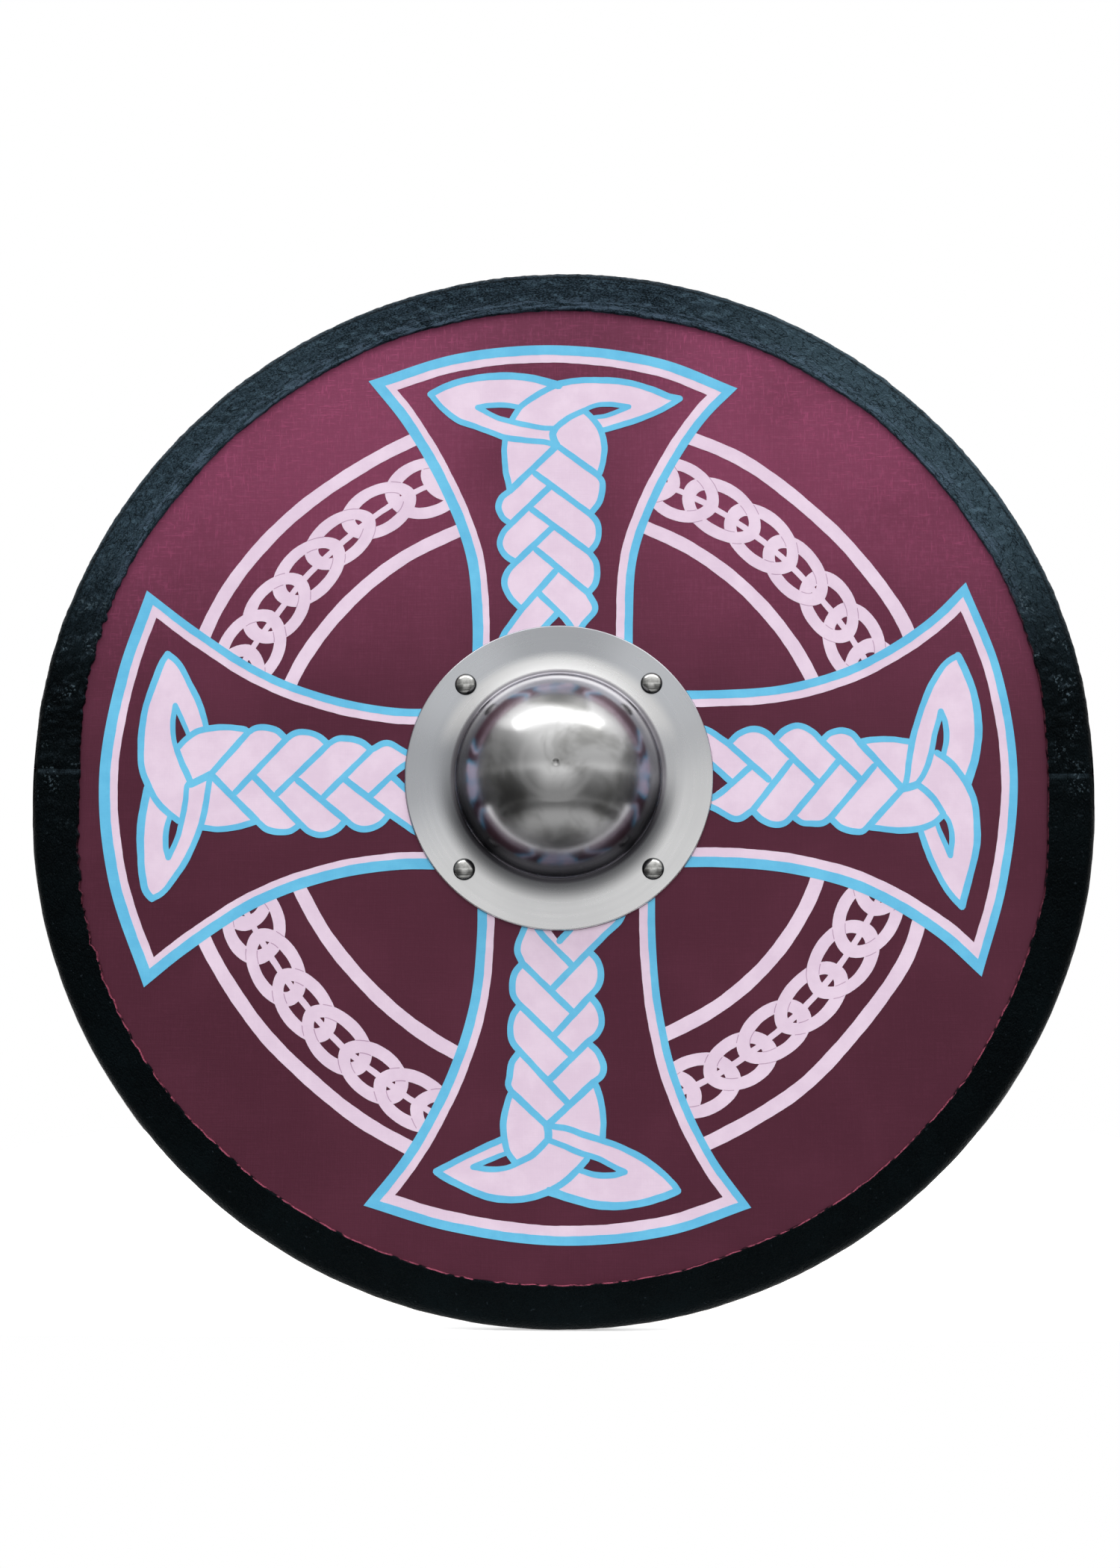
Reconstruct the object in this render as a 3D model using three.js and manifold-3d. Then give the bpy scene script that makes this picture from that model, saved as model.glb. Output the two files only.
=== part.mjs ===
// A centre-grip round shield: a wooden disc faced with painted cloth, a folded leather rim,
// a spun steel boss over the hand hole, and a carved grip bar across the back.
// Lengths are in millimetres. The shield stands upright: +Z is up, and the painted face looks along -Y.
// The origin is the middle of the disc, on the back plane of the board, where the grip bar seats.
// Every piece is drawn lying down, with x to the right of the face, y up the face and z out of the
// face, and is then stood up by an exact quarter turn about X.

import * as THREE from "three";
import { mergeVertices } from "three/addons/utils/BufferGeometryUtils.js";
import Module from "manifold-3d";

const wasm = await Module();
wasm.setup();

// Clearances and cuts
const fitGap = 0.3;
const overrun = 3;

// Disc
const overallDiameter = 610;
const boardThickness = 10;
const canvasThickness = 0.8;

// Rim leather
const leatherThickness = 2.2;
const rimFaceWidth = 24.3;
const rimBackWidth = 20;
const rimCornerRadius = 5.5;
const rimEdgeRound = 0.7;
const rimWobble = 0.9;
const rimSeamGap = 0.8;
// Share of the wobble, waves round the rim, and where each wave starts
const rimWaveShares = [
  [0.5, 7, 1],
  [0.3, 17, 0],
  [0.2, 29, 2],
];

// Boss
const bossDiameter = 176;
const bossHeight = 50;
const bossWall = 1.6;
const flangeWidth = 29;
const handHoleInset = 3;
const bossFillet = 10;
const flangeEdgeRound = 0.8;
const centreMarkDiameter = 7;
const centreMarkDepth = 0.7;
const markBendShare = 0.45;
const markDropShare = 0.6;

// Boss bolts, with domed heads and square necks, and their washers and nuts
const boltEdgeDistance = 12.5;
const boltCount = 4;
const boltDiameter = 5;
const boltHeadDiameter = 12.5;
const boltHeadHeight = 3.8;
const boltNeckSide = 5;
const boltNeckHeight = 4.4;
const boltTail = 2.4;
const boltChamfer = 0.7;
const washerDiameter = 15;
const washerThickness = 1.2;
const nutAcrossFlats = 8;
const nutHeight = 4;
const nutChamfer = 0.6;

// Grip bar and its screws
const gripLength = 320;
const gripMiddleWidth = 30;
const gripMiddleThickness = 24;
const gripEndWidth = 36;
const gripEndThickness = 11;
const gripTipWidth = 22;
const gripMiddleRound = 10;
const gripEndRound = 2.5;
const gripWaistLength = 116;
const gripShoulderLength = 34;
const gripTipLength = 14;
const gripSwell = 3;
const screwDiameter = 4;
const screwHeadDiameter = 8.2;
const screwPointLength = 3.5;
const screwBite = 7.5;
const screwSpacing = 34;
const screwEndDistance = 20;
const screwsPerEnd = 2;

// Facets
const discSteps = 72;
const bossSteps = 48;
const domeArcSteps = 9;
const filletSteps = 4;
const holeSteps = 40;
const boltSteps = 16;
const boltHeadArcSteps = 4;
const smallHoleSteps = 12;
const rimArcSteps = 3;
const gripCornerSteps = 3;
const gripWaistSteps = 4;
const gripShoulderSteps = 4;
const gripTipSteps = 3;
const edgeSteps = 2;

// Places that follow from the sizes above, measured out of the back plane of the board
const boardFront = boardThickness;
const faceFront = boardFront + canvasThickness;
const flangeFront = faceFront + bossWall;
const boardRadius = overallDiameter / 2 - leatherThickness - fitGap;
const bareRadius = overallDiameter / 2 - rimBackWidth - rimWobble - fitGap;
const domeDiameter = bossDiameter - 2 * flangeWidth;
const handHoleDiameter = domeDiameter - 2 * handHoleInset;
const boltCircleDiameter = bossDiameter - 2 * boltEdgeDistance;
const washerBack = -washerThickness;
const nutBack = washerBack - nutHeight;
const boltHoleDiameter = boltDiameter + 2 * fitGap;
const neckPocketSide = boltNeckSide + 2 * fitGap;
const flangeHoleDiameter = boltNeckSide * Math.SQRT2 + 2 * fitGap;
const screwHoleDiameter = screwDiameter + 2 * fitGap;

// Colours and finishes
const rawWood = new THREE.MeshStandardMaterial({ color: 0xb58a5a, roughness: 0.7, metalness: 0 });
const maroonCloth = new THREE.MeshStandardMaterial({ color: 0x5a2d3c, roughness: 0.55, metalness: 0 });
const blackLeather = new THREE.MeshStandardMaterial({ color: 0x0c1114, roughness: 0.45, metalness: 0 });
const brushedSteel = new THREE.MeshStandardMaterial({ color: 0xaeb0b2, roughness: 0.3, metalness: 1 });
const brightSteel = new THREE.MeshStandardMaterial({ color: 0xc4c5c2, roughness: 0.12, metalness: 1 });
const zincSteel = new THREE.MeshStandardMaterial({ color: 0xa9abac, roughness: 0.35, metalness: 1 });
const oiledAsh = new THREE.MeshStandardMaterial({ color: 0xa9783f, roughness: 0.5, metalness: 0 });

// Solids

function weld(geometry) {
  const bare = geometry.index ? geometry.toNonIndexed() : geometry.clone();
  for (const name of Object.keys(bare.attributes)) {
    if (name !== "position") bare.deleteAttribute(name);
  }
  const welded = mergeVertices(bare);
  const corners = welded.index.array;
  const kept = [];
  for (let i = 0; i < corners.length; i += 3) {
    const [a, b, c] = [corners[i], corners[i + 1], corners[i + 2]];
    if (a !== b && b !== c && c !== a) kept.push(a, b, c);
  }
  return { vertices: new Float32Array(welded.attributes.position.array), triangles: new Uint32Array(kept) };
}

function solid(geometry) {
  const { vertices, triangles } = weld(geometry);
  return new wasm.Manifold(new wasm.Mesh({ numProp: 3, vertProperties: vertices, triVerts: triangles }));
}

function cut(body, ...tools) {
  return tools.reduce((rest, tool) => rest.subtract(tool), body);
}

function join(...bodies) {
  return bodies.reduce((whole, body) => whole.add(body));
}

// (x, y, z) becomes (x, -z, y), with no rounding
function quarterTurn(geometry) {
  const place = geometry.attributes.position;
  for (let i = 0; i < place.count; i += 1) {
    place.setXYZ(i, place.getX(i), -place.getZ(i), place.getY(i));
  }
  return geometry;
}

function standUp(body) {
  const { vertProperties, triVerts } = body.getMesh();
  const geometry = new THREE.BufferGeometry();
  geometry.setAttribute("position", new THREE.BufferAttribute(new Float32Array(vertProperties), 3));
  geometry.setIndex(new THREE.BufferAttribute(new Uint32Array(triVerts), 1));
  quarterTurn(geometry);
  const faceted = geometry.toNonIndexed();
  faceted.computeVertexNormals();
  return faceted;
}

// Drawing helpers, all in the lying frame

function circleShape(diameter, steps) {
  const points = [];
  for (let i = 0; i < steps; i += 1) {
    const angle = (2 * Math.PI * i) / steps;
    points.push(new THREE.Vector2(Math.cos(angle), Math.sin(angle)).multiplyScalar(diameter / 2));
  }
  return new THREE.Shape(points);
}

function plate(shape, low, high) {
  const geometry = new THREE.ExtrudeGeometry(shape, { depth: high - low, bevelEnabled: false });
  return geometry.translate(0, 0, low);
}

function rod(diameter, steps, low, high) {
  return solid(plate(circleShape(diameter, steps), low, high));
}

// A profile of [radius, height] points, spun about z
function spun(profile, steps) {
  const points = profile.map(([radius, height]) => new THREE.Vector2(radius, height));
  return solid(quarterTurn(new THREE.LatheGeometry(points, steps)));
}

function block(width, height, low, high) {
  return solid(new THREE.BoxGeometry(width, height, high - low).translate(0, 0, (low + high) / 2));
}

// Points of an arc round [radius, height], with one semi-axis across and one along the axis
function arcPoints(centre, across, along, fromAngle, toAngle, steps) {
  const points = [];
  for (let i = 0; i <= steps; i += 1) {
    const angle = fromAngle + ((toAngle - fromAngle) * i) / steps;
    points.push([centre[0] + across * Math.cos(angle), centre[1] + along * Math.sin(angle)]);
  }
  return points;
}

function smoothStep(share) {
  const held = Math.min(1, Math.max(0, share));
  return held * held * (3 - 2 * held);
}

// Where things are fastened

function boltPlaces() {
  const places = [];
  for (let i = 0; i < boltCount; i += 1) {
    const angle = Math.PI / boltCount + (2 * Math.PI * i) / boltCount;
    places.push([(boltCircleDiameter / 2) * Math.cos(angle), (boltCircleDiameter / 2) * Math.sin(angle)]);
  }
  return places;
}

function screwPlaces() {
  const places = [];
  for (const side of [-1, 1]) {
    for (let i = 0; i < screwsPerEnd; i += 1) {
      places.push([side * (gripLength / 2 - screwEndDistance - i * screwSpacing), 0]);
    }
  }
  return places;
}

function atEach(places, body) {
  return places.map(([x, y]) => body.translate([x, y, 0]));
}

// Disc

// The disc is drawn as a bare middle and the ring that the leather covers, so that the bare back is
// a face of its own
function board() {
  const middle = rod(2 * bareRadius, discSteps, 0, boardFront);
  const disc = join(middle, cut(rod(2 * boardRadius, discSteps, 0, boardFront), middle));
  const handHole = rod(handHoleDiameter, holeSteps, -overrun, boardFront + overrun);
  const boltHole = rod(boltHoleDiameter, smallHoleSteps, -overrun, boardFront + overrun);
  const neckInBoard = boltNeckHeight - bossWall - canvasThickness + fitGap;
  const neckPocket = block(neckPocketSide, neckPocketSide, boardFront - neckInBoard, boardFront + overrun);
  const pilotHole = rod(screwHoleDiameter, smallHoleSteps, -overrun, screwBite + fitGap);
  return cut(
    disc,
    handHole,
    ...atEach(boltPlaces(), join(boltHole, neckPocket)),
    ...atEach(screwPlaces(), pilotHole),
  );
}

function canvasFacing() {
  const cloth = rod(2 * boardRadius, discSteps, boardFront, faceFront);
  const handHole = rod(handHoleDiameter, holeSteps, boardFront - overrun, faceFront + overrun);
  const boltHole = rod(flangeHoleDiameter, smallHoleSteps, boardFront - overrun, faceFront + overrun);
  return cut(cloth, handHole, ...atEach(boltPlaces(), boltHole));
}

// Rim: a leather strip folded round the edge, with a hand-cut inner edge

function handCut(angle, depth) {
  const waves = rimWaveShares.map(([share, count, start]) => share * Math.sin(count * angle + start));
  return depth * waves.reduce((sum, wave) => sum + wave);
}

function rimSection(angle) {
  const edge = overallDiameter / 2;
  const faceEdge = edge - rimFaceWidth + handCut(angle, rimWobble);
  const backEdge = edge - rimBackWidth + handCut(angle + Math.PI, rimWobble);
  const front = faceFront + leatherThickness;
  const back = -leatherThickness;
  const wall = boardRadius + fitGap;
  const round = rimCornerRadius;
  const backCorner = [edge - round, back + round];
  const frontCorner = [edge - round, front - round];
  return [
    [faceEdge, faceFront],
    [wall, faceFront],
    [wall, 0],
    [backEdge, 0],
    [backEdge, back + rimEdgeRound],
    [backEdge + rimEdgeRound, back],
    ...arcPoints(backCorner, round, round, -Math.PI / 2, 0, rimArcSteps),
    ...arcPoints(frontCorner, round, round, 0, Math.PI / 2, rimArcSteps),
    [faceEdge + rimEdgeRound, front],
    [faceEdge, front - rimEdgeRound],
  ];
}

// Closed outlines of [u, v] points, each set in space by place(i, u, v), joined in order and capped
function skinned(outlines, place) {
  const count = outlines[0].length;
  const positions = [];
  outlines.forEach((outline, i) => {
    for (const [u, v] of outline) positions.push(...place(i, u, v));
  });
  const faces = [];
  for (let i = 0; i + 1 < outlines.length; i += 1) {
    for (let j = 0; j < count; j += 1) {
      const [a, b] = [i * count + j, i * count + ((j + 1) % count)];
      faces.push(a, b, a + count, b, b + count, a + count);
    }
  }
  const last = (outlines.length - 1) * count;
  const capOf = (outline) => {
    const corners = outline.map(([u, v]) => new THREE.Vector2(u, v));
    return THREE.ShapeUtils.triangulateShape(corners, []);
  };
  for (const [a, b, c] of capOf(outlines[0])) faces.push(a, c, b);
  for (const [a, b, c] of capOf(outlines.at(-1))) faces.push(last + a, last + b, last + c);
  const geometry = new THREE.BufferGeometry();
  geometry.setAttribute("position", new THREE.Float32BufferAttribute(positions, 3));
  geometry.setIndex(faces);
  return solid(geometry);
}

// Runs clockwise for half a turn from startAngle
function rimHalf(startAngle) {
  const seamAngle = rimSeamGap / overallDiameter;
  const steps = discSteps / 2;
  const angles = [];
  for (let i = 0; i <= steps; i += 1) {
    angles.push(startAngle - (Math.PI * i) / steps);
  }
  angles[0] -= seamAngle;
  angles[steps] += seamAngle;
  const ring = (i, radius, height) => [radius * Math.cos(angles[i]), radius * Math.sin(angles[i]), height];
  return skinned(angles.map(rimSection), ring);
}

// Boss: one spun shell, open at the back. Its dome is part of a ball that meets the flange in a fillet,
// with the spinner's centre mark at its top

function bossShell() {
  const top = faceFront + bossHeight;
  const rise = top - flangeFront;
  const ballRadius = (rise ** 2 + (domeDiameter / 2) ** 2) / (2 * rise);
  const ballCentre = [0, top - ballRadius];
  const insideRadius = ballRadius - bossWall;
  const filletOutside = bossFillet + bossWall;
  const filletLift = flangeFront + bossFillet - ballCentre[1];
  const filletCentre = [Math.sqrt((ballRadius + bossFillet) ** 2 - filletLift ** 2), flangeFront + bossFillet];
  const touch = Math.atan2(filletLift, filletCentre[0]);
  const flangeRadius = bossDiameter / 2;
  const edgeCentre = [flangeRadius - flangeEdgeRound, flangeFront - flangeEdgeRound];
  const markRadius = centreMarkDiameter / 2;
  const markAngle = Math.acos(markRadius / ballRadius);
  const shell = spun(
    [
      [flangeRadius, faceFront],
      ...arcPoints(edgeCentre, flangeEdgeRound, flangeEdgeRound, 0, Math.PI / 2, edgeSteps),
      ...arcPoints(filletCentre, bossFillet, bossFillet, 1.5 * Math.PI, Math.PI + touch, filletSteps),
      ...arcPoints(ballCentre, ballRadius, ballRadius, touch, markAngle, domeArcSteps).slice(1),
      [markRadius * markBendShare, top - centreMarkDepth * markDropShare],
      [0, top - centreMarkDepth],
      ...arcPoints(ballCentre, insideRadius, insideRadius, Math.PI / 2, touch, domeArcSteps),
      ...arcPoints(filletCentre, filletOutside, filletOutside, Math.PI + touch, 1.5 * Math.PI, filletSteps).slice(1),
      [flangeRadius, faceFront],
    ],
    bossSteps,
  );
  const boltHole = rod(flangeHoleDiameter, smallHoleSteps, faceFront - overrun, flangeFront + overrun);
  return cut(shell, ...atEach(boltPlaces(), boltHole));
}

// Boss bolt: domed head, square neck in the board's pocket, round shank through washer and nut

function bossBolt() {
  const radius = boltDiameter / 2;
  const headRadius = boltHeadDiameter / 2;
  const end = nutBack - boltTail;
  const turned = spun(
    [
      [0, end],
      [radius - boltChamfer, end],
      [radius, end + boltChamfer],
      [radius, flangeFront],
      ...arcPoints([0, flangeFront], headRadius, boltHeadHeight, 0, Math.PI / 2, boltHeadArcSteps),
    ],
    boltSteps,
  );
  const neckTop = flangeFront + boltHeadHeight / 2;
  return join(turned, block(boltNeckSide, boltNeckSide, flangeFront - boltNeckHeight, neckTop));
}

function bossWasher() {
  return cut(
    rod(washerDiameter, boltSteps, washerBack, 0),
    rod(boltHoleDiameter, smallHoleSteps, washerBack - overrun, overrun),
  );
}

function bossNut() {
  const acrossCorners = (nutAcrossFlats * 2) / Math.sqrt(3);
  const hexagon = rod(acrossCorners, 6, nutBack, washerBack);
  const chamferRadius = acrossCorners / 2 - nutChamfer;
  const turned = spun(
    [
      [0, nutBack],
      [chamferRadius, nutBack],
      [acrossCorners / 2, nutBack + nutChamfer],
      [acrossCorners / 2, washerBack],
      [0, washerBack],
    ],
    boltSteps,
  );
  const bore = rod(boltHoleDiameter, smallHoleSteps, nutBack - overrun, washerBack + overrun);
  return cut(hexagon.intersect(turned), bore);
}

// Grip bar: flat on the board at both ends, waisted and rounded where the hand closes on it

function gripSizesAt(distance) {
  const shoulder = smoothStep((distance - gripWaistLength / 2) / gripShoulderLength);
  const swell = gripSwell * (1 - smoothStep(distance / (gripWaistLength / 2)));
  const tip = Math.max(0, (distance - gripLength / 2 + gripTipLength) / gripTipLength);
  const drawnIn = ((gripEndWidth - gripTipWidth) / 2) * (1 - Math.sqrt(1 - tip * tip));
  const between = (middle, end) => middle + (end - middle) * shoulder;
  return {
    halfWidth: between(gripMiddleWidth, gripEndWidth) / 2 - drawnIn,
    thickness: between(gripMiddleThickness, gripEndThickness) + swell,
    round: between(gripMiddleRound, gripEndRound),
  };
}

// The section's flat front lies on the board at z = 0
function gripSection(distance) {
  const { halfWidth, thickness, round } = gripSizesAt(distance);
  const corner = (acrossSign, z, fromAngle) => {
    const centre = [acrossSign * (halfWidth - round), z];
    return arcPoints(centre, round, round, fromAngle, fromAngle + Math.PI / 2, gripCornerSteps);
  };
  return [
    ...corner(1, -round, 0),
    ...corner(-1, -round, Math.PI / 2),
    ...corner(-1, round - thickness, Math.PI),
    ...corner(1, round - thickness, 1.5 * Math.PI),
  ];
}

function gripStations() {
  const half = [];
  const addSteps = (from, to, steps) => {
    for (let i = 1; i <= steps; i += 1) half.push(from + ((to - from) * i) / steps);
  };
  const waistEnd = gripWaistLength / 2;
  addSteps(0, waistEnd, gripWaistSteps);
  addSteps(waistEnd, waistEnd + gripShoulderLength, gripShoulderSteps);
  addSteps(gripLength / 2 - gripTipLength, gripLength / 2, gripTipSteps);
  half.splice(-gripTipSteps, 0, gripLength / 2 - gripTipLength);
  return [...half.map((distance) => -distance).reverse(), 0, ...half];
}

function gripBar() {
  const stations = gripStations();
  const sections = stations.map((x) => gripSection(Math.abs(x)));
  const bar = skinned(sections, (i, across, z) => [stations[i], across, z]);
  return cut(bar, ...atEach(screwPlaces(), screwSpace()));
}

function screwProfile(gap) {
  const radius = screwDiameter / 2 + gap;
  const headRadius = screwHeadDiameter / 2 + gap;
  const headBack = -gripEndThickness;
  return [
    [headRadius, headBack],
    [radius, headBack + headRadius - radius],
  ];
}

function screwSpace() {
  const [head, neck] = screwProfile(fitGap);
  const behind = head[1] - overrun;
  const profile = [[0, behind], [head[0], behind], head, neck, [neck[0], overrun], [0, overrun]];
  return spun(profile, smallHoleSteps);
}

function gripScrew() {
  const [head, neck] = screwProfile(0);
  const taperStart = [neck[0], screwBite - screwPointLength];
  return spun([[0, head[1]], head, neck, taperStart, [0, screwBite]], smallHoleSteps);
}

// Assembly

const shield = new THREE.Group();

function add(name, body, material) {
  const mesh = new THREE.Mesh(standUp(body), material.clone());
  mesh.name = name;
  shield.add(mesh);
}

function addEach(name, places, body, material) {
  atEach(places, body).forEach((copy, i) => add(`${name}_${i + 1}`, copy, material));
}

add("board", board(), rawWood);
add("canvas_facing", canvasFacing(), maroonCloth);
add("rim_leather_upper", rimHalf(Math.PI), blackLeather);
add("rim_leather_lower", rimHalf(0), blackLeather);
add("boss_shell", bossShell(), brushedSteel);
addEach("boss_bolt", boltPlaces(), bossBolt(), brightSteel);
addEach("boss_washer", boltPlaces(), bossWasher(), zincSteel);
addEach("boss_nut", boltPlaces(), bossNut(), zincSteel);
add("grip_bar", gripBar(), oiledAsh);
addEach("grip_screw", screwPlaces(), gripScrew(), zincSteel);

export default shield;
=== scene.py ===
import math

import bpy
import numpy as np
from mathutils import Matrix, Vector, geometry, noise


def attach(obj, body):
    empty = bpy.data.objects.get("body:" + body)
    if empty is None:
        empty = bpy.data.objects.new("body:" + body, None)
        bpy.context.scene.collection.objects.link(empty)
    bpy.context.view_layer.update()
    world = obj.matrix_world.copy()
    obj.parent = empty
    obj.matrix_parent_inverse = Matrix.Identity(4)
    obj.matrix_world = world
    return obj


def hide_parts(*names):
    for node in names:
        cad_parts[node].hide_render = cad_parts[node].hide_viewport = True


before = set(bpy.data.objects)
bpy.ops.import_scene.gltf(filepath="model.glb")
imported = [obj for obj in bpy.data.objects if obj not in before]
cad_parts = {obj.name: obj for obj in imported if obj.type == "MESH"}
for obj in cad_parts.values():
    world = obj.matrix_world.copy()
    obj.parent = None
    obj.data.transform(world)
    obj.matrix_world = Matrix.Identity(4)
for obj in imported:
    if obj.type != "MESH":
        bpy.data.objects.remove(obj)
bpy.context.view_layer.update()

# Sizes of the CAD
OVERALL = 610
FACE_FRONT = 10.8
CANVAS = 0.8
BOARD = 10
LEATHER = 2.2
FIT_GAP = 0.3
RIM_FACE = 24.3
RIM_BACK = 20
RIM_ROUND = 5.5
RIM_EDGE = 0.7
RIM_WOBBLE = 0.9
RIM_WAVES = ((0.5, 7, 1), (0.3, 17, 0), (0.2, 29, 2))
LEFT_SEAM = 180 - 1.1
BOSS = 176
BOSS_HEIGHT = 50
BOSS_WALL = 1.6
FLANGE_FRONT = FACE_FRONT + BOSS_WALL
FLANGE_ROUND = 0.8
DOME = 118
HAND_HOLE = 112
BOLT_CIRCLE = 151
BOLT = 5
BOLT_HEAD = 12.5
BOLT_HEAD_HEIGHT = 3.8
BOLT_TAIL = 2.4
WASHER = 15
WASHER_THICK = 1.2
NUT_FLATS = 8
NUT_HEIGHT = 4
NUT_BACK = -WASHER_THICK - NUT_HEIGHT
GRIP = 320
GRIP_MIDDLE = (30, 24, 10)
GRIP_END = (36, 11, 2.5)
GRIP_TIP_WIDTH = 22
GRIP_WAIST = 116
GRIP_SHOULDER = 34
GRIP_TIP = 14
GRIP_SWELL = 3
SCREW = 4
SCREW_HEAD = 8.2
SCREW_BITE = 7.5
SCREW_PLACES = (-140, -106, 106, 140)

# Sizes of the looks alone, in mm and degrees, but for the spreads at the seams, which are sines of the
# angle. The seams are narrower than the CAD's, so that no cloth shows through them. The boss has a
# tighter foot, a soft rise of its flange, and a turned pad and a centre mark in its dome
PLIES = 7
SEAM_GAP = 0.2
SEAM_OVERLAP = 4.6
OVERLAP_SPREAD = 0.2
SEAM_DIP = 1.4
DIP_SPREAD = 0.16
SEAM_PRESS = 0.35
EDGE_RAGGED = 0.25
EDGE_TORN = 1.5
TORN_AT = (163, 196)
TORN_SPREAD = 11
FOOT_RADIUS = 3
SOFT_RADIUS = 56
SOFT_FROM = 76
MARK = 5
MARK_DEPTH = 0.6
PAD = 34
PAD_EDGE = 5
PAD_DEPTH = 0.16
BOLT_PITCH = 0.8
BOLT_THREAD = 0.42
SCREW_PITCH = 1.8
SCREW_THREAD = 0.35
RECESS_DEPTH = 1.5
RECESS_ARM = 0.62
RECESS_REACH = 2.5

# The paint lies proud of the cloth by these, and its back just clears the cloth
PAINT_GAP = 0.004
PAINT_FRONT = {"pink": FACE_FRONT + 0.16, "blue": FACE_FRONT + 0.22, "line": FACE_FRONT + 0.18}

# The border of an arm, read up the arm in mm: how far its outer edge lies to the left and to the
# right at the heights RISES, how high its end is at the places SPANS, and the two corners of its end.
# The widths are those of the blue and the pink line, along the left side, the end and the right side
RISES = (92, 130, 170, 210)
SPANS = (-60, 0, 60)
ARM_FOOT = 60
BORDERS = {
    "top": {
        "left": (-50, -54, -69, -91.5),
        "right": (43, 46, 61, 85.5),
        "end": (254.5, 259, 250),
        "corners": ((-113, 238), (105.5, 231)),
        "widths": ((6.1, 3.8), (6, 4.8), (4.8, 4.9)),
    },
    "right": {
        "left": (-49.5, -52.5, -64.5, -88.5),
        "right": (52.5, 56, 67, 90.5),
        "end": (253, 260, 252),
        "corners": ((-112, 235), (114, 235.5)),
        "widths": ((4.9, 4.6), (4.6, 4.6), (5.9, 5.3)),
    },
    "bottom": {
        "left": (-54.5, -57.5, -66.5, -84.5),
        "right": (46, 50, 63, 84.5),
        "end": (254.5, 260, 252.5),
        "corners": ((-105.5, 239.5), (107.5, 239)),
        "widths": ((4.2, 4.8), (5, 5.5), (5.3, 4.3)),
    },
    "left": {
        "left": (-53.5, -59.5, -74, -100),
        "right": (40, 47, 62, 87.5),
        "end": (256.5, 264.5, 256.5),
        "corners": ((-119.5, 234), (111, 241)),
        "widths": ((6.1, 3.7), (6.4, 4.4), (4.5, 4.6)),
    },
}

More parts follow.
